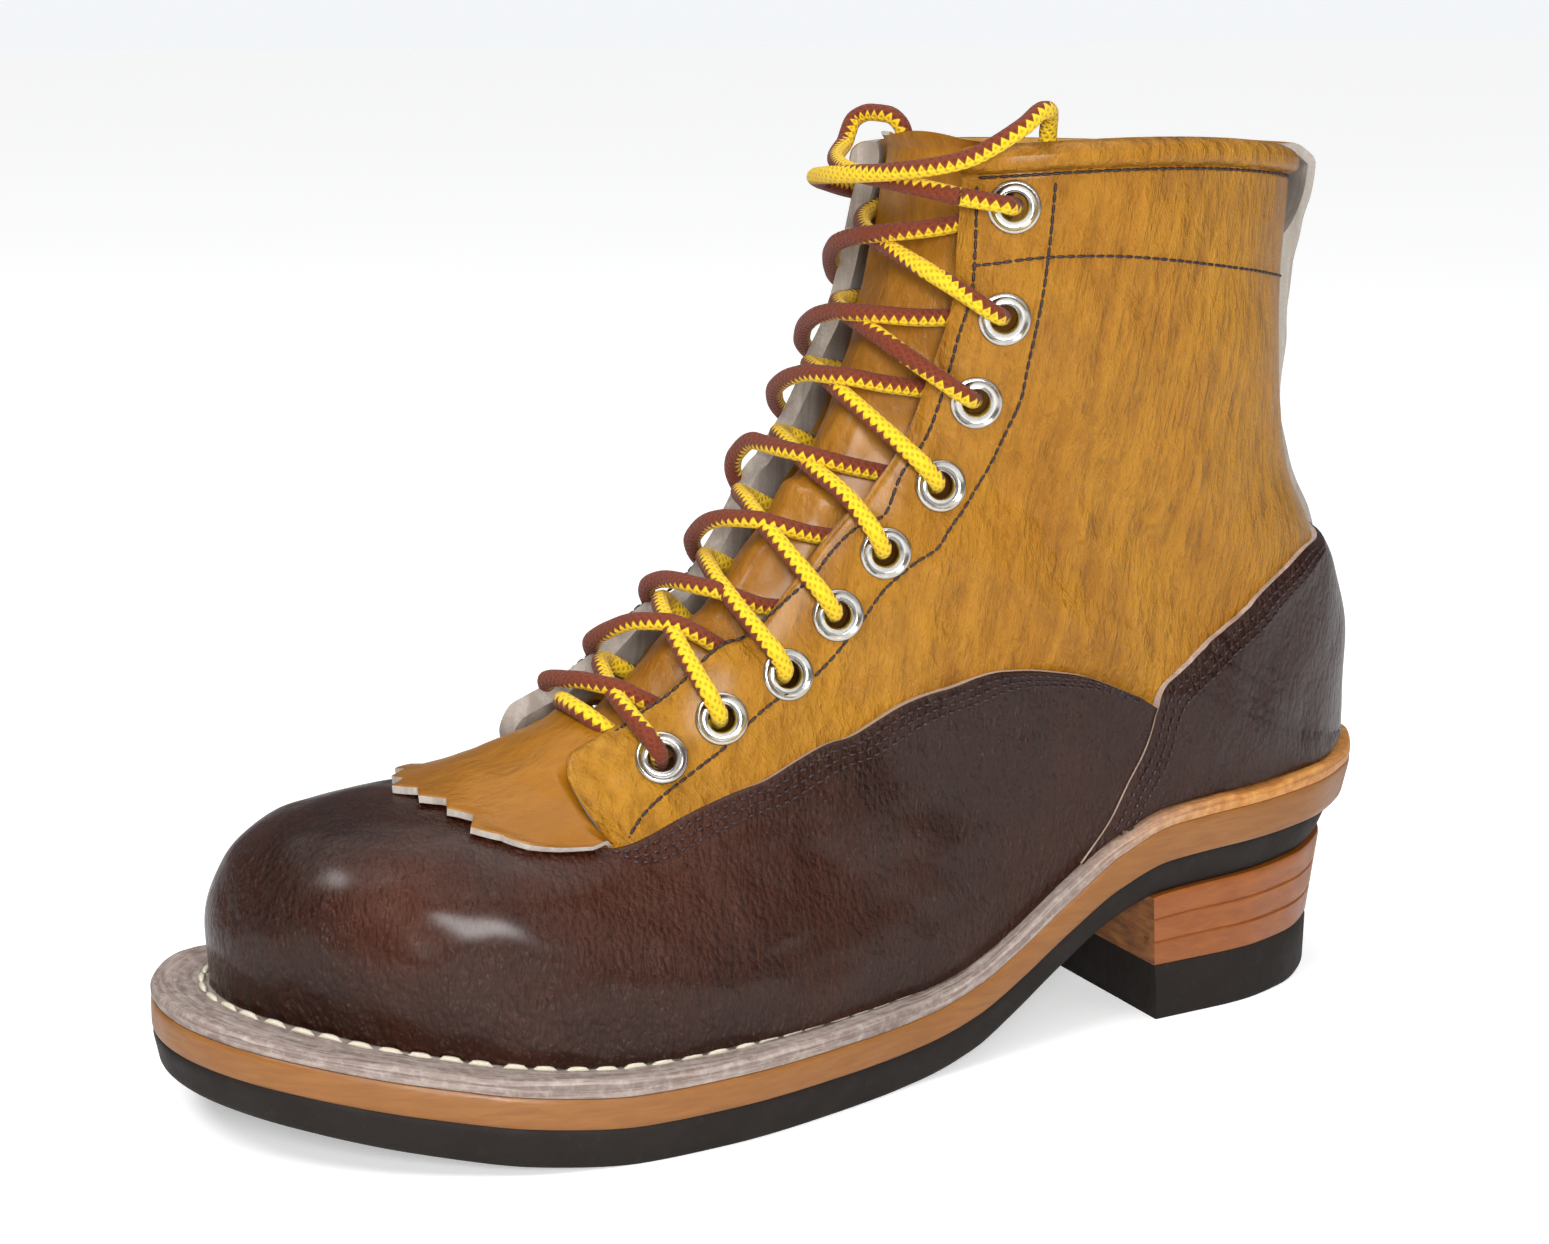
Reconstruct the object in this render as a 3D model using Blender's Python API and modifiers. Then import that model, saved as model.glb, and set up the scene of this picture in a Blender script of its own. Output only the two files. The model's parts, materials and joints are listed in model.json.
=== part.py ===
"""Logger boot, left foot: a stitched-down leather boot on a leather midsole and a rubber outsole.

Toe towards -Y, outer side of the foot towards +X, +Z up, standing on the floor at z = 0.
The upper and everything on it come from one function, last_point, which walks the last in rows
from the toe to the collar. Stations along the foot are shares of the sole's length from the heel.
"""

import math

import bmesh
import bpy
import numpy as np
from mathutils import Matrix, Vector

MM = 0.001

# Sole
SOLE_LENGTH = 308 * MM
BALL_WIDTH = 110 * MM
OUTSOLE_THICKNESS = 9 * MM
MIDSOLE_THICKNESS = 7 * MM
FLANGE_THICKNESS = 3.5 * MM
FLANGE_WIDTH = 17.5 * MM
FLANGE_SEAT = 4 * MM
INSOLE_THICKNESS = 4.5 * MM
HEEL_RISE = 32 * MM
TOE_SPRING = 14 * MM
HEEL_CAP_THICKNESS = 14 * MM
HEEL_LENGTH = 77 * MM
HEEL_UNDERCUT = 12 * MM
HEEL_SIDE_TAPER = 3.5 * MM
BREAST_LEAN = 3 * MM
SOLE_EDGE_SLOPE = 1.5 * MM

# Upper
UPPER_HEIGHT = 150 * MM
COLLAR_BACK_SET = 36 * MM
COLLAR_OUTER_RISE = 5 * MM
WALL = 2.6 * MM
COLLAR_ROLL = 1.8 * MM
VAMP_THICKNESS = 2.0 * MM
COUNTER_THICKNESS = 2.8 * MM
BACKSTAY_THICKNESS = 2.0 * MM
BACKSTAY_WIDTH = 17 * MM
PULL_LOOP_STAND = 3.4 * MM
TONGUE_THICKNESS = 2.0 * MM
TONGUE_RISE = 2.5 * MM
TONGUE_LAP = 11 * MM
TONGUE_DEPTH = 1.7 * MM
TONGUE_ROOT_ROW = 5.8
KILTIE_THICKNESS = 1.7 * MM
KILTIE_TOOTH = 2.2 * MM
KILTIE_CLIMB = 2.5 * MM
KILTIE_TEETH = 9
GAP = 0.3 * MM
SEAT_GAP = 0.65 * MM
SHEET_GAP = 0.7 * MM

# Eyelets and lace
EYELET_RADIUS = 5.1 * MM
EYELET_BORE = 2.9 * MM
EYELET_BARREL = 3.4 * MM
EYELET_CROWN = 1.5 * MM
CROWN_ROUND = 0.6 * MM
EYELET_INSET = 11 * MM
LACE_DIAMETER = 4 * MM
END_STEP = 6.4 * MM
LACE_LIFT = WALL + EYELET_CROWN + LACE_DIAMETER / 2 + 0.9 * MM

# Mesh density
EDGE_STEPS = 42
HEEL_STEPS = 12
SIDE_COLUMNS = 7
COLUMN_CROWDING = 0.3
MIDDLE_COLUMNS = 6
TONGUE_COLUMNS = 6
ROUND_STEPS = 8
CROSSING_STEPS = 4

# Plan of the sole: station, half width and centre offset as shares of the ball width,
# and the width of the flange that shows outside the upper, as a share of FLANGE_WIDTH.
OUTLINE = np.array([
    # station half   centre  flange
    [0.000, 0.000, 0.000, 0.49],
    [0.020, 0.150, 0.000, 0.49],
    [0.050, 0.238, 0.000, 0.49],
    [0.110, 0.316, 0.000, 0.49],
    [0.190, 0.346, 0.003, 0.49],
    [0.260, 0.341, 0.012, 0.50],
    [0.360, 0.325, 0.029, 0.50],
    [0.460, 0.350, 0.043, 0.54],
    [0.560, 0.415, 0.040, 0.60],
    [0.655, 0.474, 0.021, 0.65],
    [0.725, 0.491, 0.002, 0.70],
    [0.785, 0.481, -0.016, 0.76],
    [0.850, 0.437, -0.036, 0.86],
    [0.900, 0.382, -0.050, 0.94],
    [0.950, 0.289, -0.064, 1.00],
    [0.980, 0.190, -0.072, 1.00],
    [1.000, 0.000, -0.075, 1.00],
])

# Underside of the outsole: station, height as shares of HEEL_RISE and of TOE_SPRING,
# and the thickness of outsole and midsole as shares of theirs.
UNDERSIDE = np.array([
    # station heel  spring outsole midsole
    [0.000, 1.130, 0.00, 1.00, 1.36],
    [0.130, 1.060, 0.00, 1.00, 1.34],
    [0.250, 1.000, 0.00, 0.98, 1.30],
    [0.295, 0.860, 0.00, 0.96, 1.24],
    [0.340, 0.600, 0.00, 0.96, 1.16],
    [0.385, 0.330, 0.00, 0.96, 1.10],
    [0.430, 0.130, 0.00, 0.98, 1.04],
    [0.480, 0.020, 0.00, 1.00, 1.00],
    [0.520, 0.000, 0.00, 1.00, 1.00],
    [0.720, 0.000, 0.00, 1.00, 1.00],
    [0.800, 0.000, 0.16, 1.00, 1.00],
    [0.870, 0.000, 0.44, 0.96, 1.00],
    [0.940, 0.000, 0.76, 0.90, 1.00],
    [1.000, 0.000, 1.00, 0.84, 1.00],
])

# Set-in of each level of the heel end: shares of HEEL_UNDERCUT at the back and HEEL_SIDE_TAPER at the sides.
CAP_FOOT_SET = (1.02, 1.00)
CAP_TOP_SET = (1.00, 1.00)
STACK_TOP_SET = (0.72, 0.80)
OUTSOLE_FOOT_SET = (0.70, 0.75)
OUTSOLE_TOP_SET = (0.46, 0.45)
MIDSOLE_FOOT_SET = (0.20, 0.20)
# The back's set-in ends at the first station, and the sides' fades out between the other two.
HEEL_SET_STATIONS = (0.16, 0.28, 0.42)
# Lean of the breast at the foot and top of cap and stack: shares of BREAST_LEAN.
CAP_LEAN = (0.0, 0.4)
STACK_LEAN = (0.45, 1.0)

# Rows of the last. edge runs 0 to 1 along the feather line from toe tip to heel, then 1 to 2 up the back.
# The ridge is the front profile: its station, and its height over the sole as a share of UPPER_HEIGHT.
# follow says how far that height counts from the heel seat and not from the sole under it.
# lean is the direction in which a row meets the edge, 0 straight up and 90 along the edge.
# crown and flank are the reaches of the row's curve at ridge and edge, and swell its push outwards,
# all as shares of BALL_WIDTH.
ROWS = np.array([
    # row  edge  station height follow lean crown flank swell
    [0.0, 0.300, 0.943, 0.000, 0.0, 90.0, 0.24, 0.22, 0.000],
    [1.0, 0.314, 0.945, 0.082, 0.0, 78.0, 0.26, 0.24, 0.010],
    [2.0, 0.330, 0.932, 0.170, 0.0, 55.0, 0.28, 0.26, 0.016],
    [3.0, 0.346, 0.905, 0.227, 0.0, 30.0, 0.29, 0.27, 0.020],
    [4.0, 0.364, 0.862, 0.263, 0.0, 16.0, 0.29, 0.27, 0.020],
    [5.0, 0.388, 0.810, 0.290, 0.0, 12.0, 0.28, 0.26, 0.018],
    [6.0, 0.420, 0.760, 0.330, 0.0, 14.0, 0.26, 0.26, 0.016],
    [7.0, 0.465, 0.715, 0.403, 0.0, 20.0, 0.24, 0.27, 0.014],
    [8.0, 0.530, 0.665, 0.483, 0.0, 28.0, 0.23, 0.28, 0.012],
    [9.0, 0.610, 0.615, 0.583, 0.0, 38.0, 0.23, 0.30, 0.012],
    [10.0, 0.710, 0.570, 0.555, 0.5, 50.0, 0.24, 0.34, 0.014],
    [11.0, 0.850, 0.530, 0.533, 1.0, 68.0, 0.29, 0.36, 0.016],
    [12.0, 1.000, 0.505, 0.620, 1.0, 90.0, 0.34, 0.36, 0.000],
    [13.0, 1.230, 0.487, 0.700, 1.0, 90.0, 0.39, 0.40, 0.000],
    [14.0, 1.450, 0.474, 0.767, 1.0, 90.0, 0.42, 0.43, 0.000],
    [15.0, 1.650, 0.461, 0.843, 1.0, 90.0, 0.445, 0.445, 0.000],
    [16.0, 1.830, 0.453, 0.917, 1.0, 90.0, 0.45, 0.45, 0.000],
    [17.0, 1.985, 0.447, 1.000, 1.0, 90.0, 0.455, 0.455, 0.000],
])
# Edge of the throat: row, share of the way from the ridge to the row's end.
THROAT = np.array([
    # row  across
    [6.00, 0.370],
    [6.40, 0.250],
    [6.60, 0.195],
    [6.90, 0.158],
    [7.40, 0.160],
    [8.20, 0.185],
    [9.20, 0.208],
    [10.4, 0.215],
    [11.6, 0.182],
    [13.0, 0.175],
    [14.3, 0.185],
    [15.4, 0.172],
    [17.0, 0.160],
])

# Top edge of the vamp, and the line on which the counter's front edge lies.
VAMP_TOP = np.array([
    # row  across
    [5.60, 0.360],
    [5.90, 0.402],
    [6.40, 0.430],
    [7.40, 0.455],
    [8.40, 0.472],
    [9.50, 0.515],
    [10.1, 0.568],
    [10.7, 0.592],
    [11.0, 0.605],
    [11.2, 0.640],
])
SEAM_SHARE = 0.012
COUNTER_FRONT = np.array([
    # row  across
    [9.60, 0.998],
    [9.85, 0.965],
    [10.3, 0.880],
    [10.7, 0.790],
    [11.0, 0.720],
    [11.4, 0.652],
    [11.9, 0.606],
    [12.5, 0.640],
    [12.9, 0.700],
    [13.2, 0.770],
    [13.4, 0.850],
    [13.6, 0.970],
])

# Kiltie: half width, and where its fringed front edge lies, from the middle to its side.
KILTIE_SIDE = np.array([
    # row  across
    [4.60, 0.392],
    [5.50, 0.396],
    [5.95, 0.340],
    [6.30, 0.222],
    [6.60, 0.158],
    [6.90, 0.124],
    [7.50, 0.126],
])
KILTIE_FRONT = np.array([
    # share row
    [0.00, 4.84],
    [0.30, 4.95],
    [0.50, 4.90],
    [0.75, 4.68],
    [0.90, 5.02],
    [1.00, 5.50],
])
KILTIE_LIFT = np.array([
    # row  share of the way up onto the vamp
    [4.50, 1.00],
    [5.70, 1.00],
    [6.45, 0.00],
    [7.60, 0.00],
])

# Eyelets: share of the way up the line of eyelets.
EYELET_PLACES = (0.0, 0.106, 0.224, 0.340, 0.454, 0.580, 0.715, 0.842, 1.0)
EYELET_ROWS = (7.50, 16.10)

# Backstay and pull loop, up the back, over the collar and down inside: row, rise over it in mm, and
# level, which is 0 flat on the shaft, 1 stood off it by the loop's full stand, and -1 flat inside.
BACKSTAY_PATH = np.array([
    # row   rise  level
    [13.75, 0.0, 0.00],
    [14.30, 0.0, 0.00],
    [14.85, 0.0, 0.00],
    [15.40, 0.0, 0.00],
    [15.80, 0.0, 0.15],
    [16.20, 0.0, 0.55],
    [16.60, 0.0, 0.90],
    [17.00, -0.5, 1.00],
    [17.00, 2.2, 0.72],
    [17.00, 3.6, 0.20],
    [17.00, 3.6, -0.76],
    [17.00, 2.0, -0.97],
    [17.00, -1.0, -1.00],
    [16.50, 0.0, -1.00],
    [16.00, 0.0, -1.00],
])

LOOP_START_ROW = 15.8

# Roll of the collar: share of COLLAR_ROLL by row.
ROLL = np.array([
    # row   share
    [16.42, 0.00],
    [16.56, 1.00],
    [16.85, 0.85],
    [17.00, 0.35],
])

# Rows on which the toe is drawn onto the feather line, the collar starts to rise on the outer side,
# and the back seam closes the upper.
TOE_ROWS = 5.0
COLLAR_RISE_ROW = 12.0
RING_ROW = 12.0
TOP_ROW = ROWS[-1, 0]

# Back profile of the last: height share, distance in front of the heel's back as a share of COLLAR_BACK_SET.
BACK = np.array([
    # height set
    [0.00, 0.250],
    [0.15, 0.290],
    [0.22, 0.360],
    [0.32, 0.520],
    [0.455, 0.800],
    [0.53, 0.900],
    [0.63, 0.965],
    [0.74, 1.000],
    [1.00, 0.985],
])


def smooth(table, column, x):
    """Monotone cubic through one column of a table against its first column."""
    xs, ys = table[:, 0], table[:, column]
    x = np.clip(np.asarray(x, float), xs[0], xs[-1])
    step = np.diff(xs)
    slope = np.diff(ys) / step
    tangent = np.zeros_like(ys)
    tangent[0], tangent[-1] = slope[0], slope[-1]
    same = slope[:-1] * slope[1:] > 0
    w1, w2 = 2 * step[1:] + step[:-1], step[1:] + 2 * step[:-1]
    safe = np.where(same, slope[:-1] * slope[1:], 1.0)
    harmonic = (w1 + w2) * safe / np.where(same, w1 * slope[1:] + w2 * slope[:-1], 1.0)
    tangent[1:-1] = np.where(same, harmonic, 0.0)
    i = np.clip(np.searchsorted(xs, x, side="right") - 1, 0, len(step) - 1)
    t = (x - xs[i]) / step[i]
    return (
        (2 * t**3 - 3 * t**2 + 1) * ys[i]
        + (t**3 - 2 * t**2 + t) * step[i] * tangent[i]
        + (3 * t**2 - 2 * t**3) * ys[i + 1]
        + (t**3 - t**2) * step[i] * tangent[i + 1]
    )


def rounded_half(station):
    """Half width of the sole's plan; its square is interpolated, so that toe and heel come out round."""
    squared = OUTLINE.copy()
    squared[:, 1] **= 2
    return BALL_WIDTH * np.sqrt(np.maximum(smooth(squared, 1, station), 0.0))


def plan_loop(inset):
    """One side's plan curves from the toe tip to the heel, set in from the sole's edge by inset(station)."""
    turn = np.linspace(0.0, math.pi, 721)
    station = (1.0 + np.cos(turn)) / 2
    centre = BALL_WIDTH * smooth(OUTLINE, 2, station)
    half = rounded_half(station)
    sides = []
    for side in (-1.0, 1.0):
        x = centre + side * half
        y = SOLE_LENGTH * (0.5 - station)
        dx, dy = np.gradient(x), np.gradient(y)
        dx[0], dy[0] = side, 0.0
        dx[-1], dy[-1] = -side, 0.0
        length = np.hypot(dx, dy)
        move = inset(station)
        x = x - side * move * dy / length
        y = y + side * move * dx / length
        walked = np.concatenate([[0.0], np.cumsum(np.hypot(np.diff(x), np.diff(y)))])
        sides.append((walked / walked[-1], x, y))
    return sides


def plan_point(loop, edge, side):
    """Point x, y at a share of the way from toe tip to heel on one side of a plan loop."""
    walked, x, y = loop[1 if side > 0 else 0]
    return np.interp(edge, walked, x), np.interp(edge, walked, y)


def station_of(y):
    return 0.5 - y / SOLE_LENGTH


def sole_level(y, layers):
    """Height at y of the underside (0 layers), and above outsole (1), midsole (2) and flange (3)."""
    station = station_of(y)
    z = HEEL_RISE * smooth(UNDERSIDE, 1, station) + TOE_SPRING * smooth(UNDERSIDE, 2, station)
    thickness = (
        OUTSOLE_THICKNESS * smooth(UNDERSIDE, 3, station),
        MIDSOLE_THICKNESS * smooth(UNDERSIDE, 4, station),
        FLANGE_THICKNESS,
    )
    for layer in thickness[:layers]:
        z = z + layer
    return z


FEATHER = plan_loop(lambda station: FLANGE_WIDTH * smooth(OUTLINE, 3, station))
SEAT_LEVEL = float(sole_level(SOLE_LENGTH * 0.40, 3))


def edge_point(edge, side):
    """Where a row ends: on the feather line up to edge 1, then up the middle of the back."""
    low = np.minimum(edge, 1.0)
    x, y = plan_point(FEATHER, low, side)
    z = sole_level(y, 3) + SEAT_GAP
    climb = np.clip(edge - 1.0, 0.0, 1.0)
    back_y = SOLE_LENGTH / 2 - COLLAR_BACK_SET * smooth(BACK, 1, climb)
    heel_x, heel_y = plan_point(FEATHER, 1.0, side)
    heel_z = sole_level(heel_y, 3) + SEAT_GAP
    top_z = SEAT_LEVEL + UPPER_HEIGHT
    up = climb > 0
    x = np.where(up, heel_x, x)
    y = np.where(up, back_y + (heel_y - (SOLE_LENGTH / 2 - COLLAR_BACK_SET * BACK[0, 1])), y)
    z = np.where(up, heel_z + (top_z - heel_z) * climb, z)
    return np.stack([x, y, z], -1)


def ridge_point(row):
    station = smooth(ROWS, 2, row)
    y = SOLE_LENGTH * (0.5 - station)
    follow = smooth(ROWS, 4, row)
    base = sole_level(y, 3) * (1 - follow) + SEAT_LEVEL * follow + SEAT_GAP
    z = base + UPPER_HEIGHT * smooth(ROWS, 3, row)
    return np.stack([BALL_WIDTH * smooth(OUTLINE, 2, station), y, z], -1)


def row_curve(row, u, side):
    """A row's curve on one side, from the ridge at u = 0 to the feather line or the back at u = 1."""
    edge = smooth(ROWS, 1, row)
    foot = edge_point(edge, side)
    ridge = ridge_point(row)
    step = 0.02
    ahead = edge_point(np.clip(edge - step, 0.0, 1.0), side)
    behind = edge_point(np.clip(edge + step, 0.0, 1.0), side)
    along = ahead - behind
    along /= np.maximum(np.linalg.norm(along, axis=-1, keepdims=True), 1e-9)
    sideways = np.array([side, 0.0, 0.0])
    along = np.where((edge >= 1.0)[..., None], sideways, along)
    outward = np.cross(along, [0.0, 0.0, 1.0]) * -side
    lean = np.radians(smooth(ROWS, 5, row))[..., None]
    upward = np.array([0.0, 0.0, 1.0]) * np.cos(lean) + along * np.sin(lean)
    crown, flank, swell = (BALL_WIDTH * smooth(ROWS, column, row)[..., None] for column in (6, 7, 8))
    handle_ridge = ridge + sideways * crown
    handle_foot = foot + upward * flank + outward * swell
    t = u[..., None]
    return (
        (1 - t) ** 3 * ridge
        + 3 * (1 - t) ** 2 * t * handle_ridge
        + 3 * (1 - t) * t**2 * handle_foot
        + t**3 * foot
    )


def last_point(row, across):
    """Point of the last: across runs from -1 at the inner edge over 0 on the ridge to 1 at the outer edge."""
    row, across = np.broadcast_arrays(np.asarray(row, float), np.asarray(across, float))
    result = np.zeros(row.shape + (3,))
    for side in (-1.0, 1.0):
        here = across * side >= 0
        r, u = row[here], np.abs(across[here])
        curve = row_curve(r, u, side)
        if side > 0:
            climb = np.clip((r - COLLAR_RISE_ROW) / (TOP_ROW - COLLAR_RISE_ROW), 0.0, 1.0)
            curve[..., 2] += COLLAR_OUTER_RISE * climb**2 * (4 * u * (1 - u)) ** 2
        toe_edge = edge_point(ROWS[0, 1] * u, side)
        fade = np.clip(1 - r / TOE_ROWS, 0.0, 1.0)[..., None] ** 1.5
        result[here] = curve + (toe_edge - row_curve(0 * r, u, side)) * fade
    return result


def surface(row, across, lift):
    """The last's surface raised by lift along its normal, and kept above the flange."""
    step_r, step_u = 0.2, 0.02
    limit = 1.0 - 0.06 * np.clip(2.0 - row, 0.0, 1.0)
    near_row, near = np.maximum(row, 0.3), np.clip(across, -limit, limit)
    r0, r1 = np.clip(near_row - step_r, 0, TOP_ROW), np.clip(near_row + step_r, 0, TOP_ROW)
    u0, u1 = np.clip(near - step_u, -1, 1), np.clip(near + step_u, -1, 1)
    along_row = last_point(r1, near) - last_point(r0, near)
    along_side = last_point(near_row, u1) - last_point(near_row, u0)
    normal = np.cross(along_side, along_row)
    normal[..., 2] = np.maximum(normal[..., 2], 0.0)
    length = np.linalg.norm(normal, axis=-1, keepdims=True)
    raised = last_point(row, across) + normal / np.maximum(length, 1e-12) * np.asarray(lift)[..., None]
    raised[..., 2] = np.maximum(raised[..., 2], sole_level(raised[..., 1], 3) + SEAT_GAP)
    return raised


def throat(row):
    return smooth(THROAT, 1, row)


def inside_throat(row, distance):
    """Share across at a distance outside the throat's edge, measured along the row."""
    share = throat(row)
    nearby = last_point(row, share + 0.02) - last_point(row, share)
    return share + distance * 0.02 / np.linalg.norm(nearby, axis=-1)


# Pieces

def clear_scene():
    for thing in list(bpy.data.objects):
        bpy.data.objects.remove(thing, do_unlink=True)


def make_material(name, colour, roughness, metallic=0.0):
    material = bpy.data.materials.new(name)
    material.use_nodes = True
    shader = material.node_tree.nodes["Principled BSDF"]
    shader.inputs["Base Color"].default_value = (*colour, 1.0)
    shader.inputs["Roughness"].default_value = roughness
    shader.inputs["Metallic"].default_value = metallic
    return material


def add_mesh(name, points, faces, material, collection):
    mesh = bpy.data.meshes.new(name)
    mesh.from_pydata([tuple(map(float, point)) for point in points], [], faces)
    mesh.update()
    body = bmesh.new()
    body.from_mesh(mesh)
    bmesh.ops.recalc_face_normals(body, faces=body.faces)
    body.to_mesh(mesh)
    body.free()
    mesh.materials.append(material)
    piece = bpy.data.objects.new(name, mesh)
    collection.objects.link(piece)
    return piece


def close_sheet(low, high, index, skip=None):
    """Points and faces of a solid between two grids. index names each grid point.

    A point of index -1 and the column named by skip leave their faces out.
    """
    points = np.zeros((2 * (index.max() + 1), 3))
    half = index.max() + 1
    used = index >= 0
    points[index[used]] = high[used]
    points[half + index[used]] = low[used]
    quads = []
    for i in range(index.shape[0] - 1):
        for j in range(index.shape[1] - 1):
            corners = (index[i, j], index[i + 1, j], index[i + 1, j + 1], index[i, j + 1])
            if j != skip and min(corners) >= 0:
                quads.append(tuple(int(corner) for corner in corners))
    count = {}
    for quad in quads:
        for a, b in zip(quad, quad[1:] + quad[:1]):
            count[(a, b)] = count.get((a, b), 0) + 1
    faces = list(quads) + [tuple(half + corner for corner in reversed(quad)) for quad in quads]
    for (a, b), times in count.items():
        if (b, a) not in count:
            faces.append((b, a, half + a, half + b))
    return points, faces


def column_shares():
    """Places of a side's columns between its two edges, closer together towards the outer one."""
    even = np.linspace(0.0, 1.0, SIDE_COLUMNS + 1)
    return even * (1.0 + COLUMN_CROWDING * (1.0 - even))


def sheet_on_last(rows, inner, outer, low, high, slot_row, ring_row=None):
    """A leather sheet on the last, both sides of the ridge, open in the middle above slot_row.

    inner and outer give the shares across between which each side lies, and low and high its lifts.
    From ring_row up its two ends are one.
    """
    side = column_shares()
    middle = np.linspace(-1.0, 1.0, MIDDLE_COLUMNS + 1)[1:-1]
    a, b = inner(rows)[:, None], outer(rows)[:, None]
    right = a + (b - a) * side[None, :]
    across = np.concatenate([-right[:, ::-1], a * middle[None, :], right], axis=1)
    row = np.repeat(rows[:, None], across.shape[1], axis=1)
    grids = [surface(row, across, lift(row, across)) for lift in (low, high)]
    index = np.arange(row.size).reshape(row.shape)
    if ring_row is not None:
        ring = rows >= ring_row - 1e-6
        for grid in grids:
            middle_line = (grid[ring, 0] + grid[ring, -1]) / 2
            grid[ring, 0] = middle_line
            grid[ring, -1] = middle_line
        index[ring, -1] = index[ring, 0]
    slot = rows > slot_row + 1e-6
    first = SIDE_COLUMNS + 1
    index[np.ix_(slot, np.arange(first, first + MIDDLE_COLUMNS - 1))] = -1
    points, faces = close_sheet(grids[0], grids[1], index)
    return drop_unused(points, faces)


def drop_unused(points, faces):
    used = sorted({corner for face in faces for corner in face})
    place = {old: new for new, old in enumerate(used)}
    return points[used], [tuple(place[corner] for corner in face) for face in faces]


def heel_inset(level):
    """How far a level of the heel end lies inside the sole's edge, by station."""
    share_back, share_side = level
    back_end, fade_start, fade_end = HEEL_SET_STATIONS

    def inset(station):
        back = np.clip(1.0 - station / back_end, 0.0, 1.0) ** 1.5
        fade = np.clip((fade_end - station) / (fade_end - fade_start), 0.0, 1.0)
        at_side = HEEL_SIDE_TAPER * share_side
        return (at_side + (HEEL_UNDERCUT * share_back - at_side) * back) * fade

    return inset


def plan_ring(inset, edges):
    """Closed ring of plan points: up one side from toe to heel, back along the other."""
    loop = plan_loop(inset)
    outer_x, outer_y = plan_point(loop, edges, 1.0)
    inner_x, inner_y = plan_point(loop, edges[-2:0:-1], -1.0)
    return np.concatenate([outer_x, inner_x]), np.concatenate([outer_y, inner_y])


def edge_shares():
    """Shares of the way round the sole's edge, closer together at toe and heel."""
    even = np.linspace(0.0, 1.0, EDGE_STEPS + 1)
    return (even + (1 - np.cos(math.pi * even)) / 2) / 2


def add_layer(name, low_level, high_level, low_inset, high_inset, material, collection):
    """One layer of the sole over its whole plan, between two heights given by y."""
    edges = edge_shares()
    low_x, low_y = plan_ring(low_inset, edges)
    high_x, high_y = plan_ring(high_inset, edges)
    low = np.stack([low_x, low_y, low_level(low_y)], -1)
    high = np.stack([high_x, high_y, high_level(high_y)], -1)
    count = len(low)
    faces = []
    for i in range(count):
        k = (i + 1) % count
        faces.append((i, k, count + k, count + i))
    for i in range(EDGE_STEPS):
        a, b = i, i + 1
        c, d = (count - i - 1) % count, (count - i) % count
        corners = [a, b] if i == EDGE_STEPS - 1 else [a, b, c]
        if i > 0:
            corners.append(d)
        if len(set(corners)) < 3:
            continue
        faces.append(tuple(corners[::-1]))
        faces.append(tuple(count + corner for corner in corners))
    return add_mesh(name, np.concatenate([low, high]), faces, material, collection)


def add_flange(material, collection):
    """The upper's turned-out edge: a band round the sole on which the upper stands."""
    edges = edge_shares()
    outer_inset = lambda station: 0.0 * station + GAP
    seat_inset = lambda station: FLANGE_WIDTH * smooth(OUTLINE, 3, station) + FLANGE_SEAT
    rings = [plan_ring(outer_inset, edges), plan_ring(seat_inset, edges)]
    points = []
    for x, y in rings:
        points.append(np.stack([x, y, sole_level(y, 2) + SHEET_GAP], -1))
        points.append(np.stack([x, y, sole_level(y, 3)], -1))
    count = len(points[0])
    faces = []
    for i in range(count):
        k = (i + 1) % count
        for a, b in ((0, 1), (1, 3), (3, 2), (2, 0)):
            faces.append((a * count + i, a * count + k, b * count + k, b * count + i))
    return add_mesh("welt", np.concatenate(points), faces, material, collection)


def add_heel(name, low_level, high_level, low_set, high_set, lean, material, collection):
    """A block of the heel from its breast to the back, between two levels."""
    rings = []
    for level, level_set, breast_lean in ((low_level, low_set, lean[0]), (high_level, high_set, lean[1])):
        loop = plan_loop(heel_inset(level_set))
        breast = SOLE_LENGTH / 2 - HEEL_LENGTH - BREAST_LEAN * breast_lean
        sides = []
        for side in (1.0, -1.0):
            walked, x, y = loop[1 if side > 0 else 0]
            start = np.interp(breast, y, walked)
            sides.append(plan_point(loop, np.linspace(start, 1.0, HEEL_STEPS + 1), side))
        x = np.concatenate([sides[0][0], sides[1][0][-2::-1]])
        y = np.concatenate([sides[0][1], sides[1][1][-2::-1]])
        rings.append(np.stack([x, y, level(y)], -1))
    count = len(rings[0])
    faces = []
    for i in range(count):
        k = (i + 1) % count
        faces.append((i, k, count + k, count + i))
    for i in range(HEEL_STEPS):
        corners = [i, i + 1, count - i - 2, count - i - 1]
        if i == HEEL_STEPS - 1:
            corners = [i, i + 1, count - i - 1]
        faces.append(tuple(corners[::-1]))
        faces.append(tuple(count + corner for corner in corners))
    return add_mesh(name, np.concatenate(rings), faces, material, collection)


def add_insole(material, collection):
    seat = lambda station: FLANGE_WIDTH * smooth(OUTLINE, 3, station) + FLANGE_SEAT + 2 * GAP
    low = lambda y: sole_level(y, 2) + SHEET_GAP
    high = lambda y: sole_level(y, 2) + SHEET_GAP + INSOLE_THICKNESS
    return add_layer("insole", low, high, seat, seat, material, collection)


def constant(value):
    return lambda *grid: np.zeros_like(np.asarray(grid[0], float)) + value


def outer_wall(row, across):
    """Lift of the upper's outside: its wall, with the rolled collar along the top."""
    return WALL + COLLAR_ROLL * smooth(ROLL, 1, row)


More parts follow.
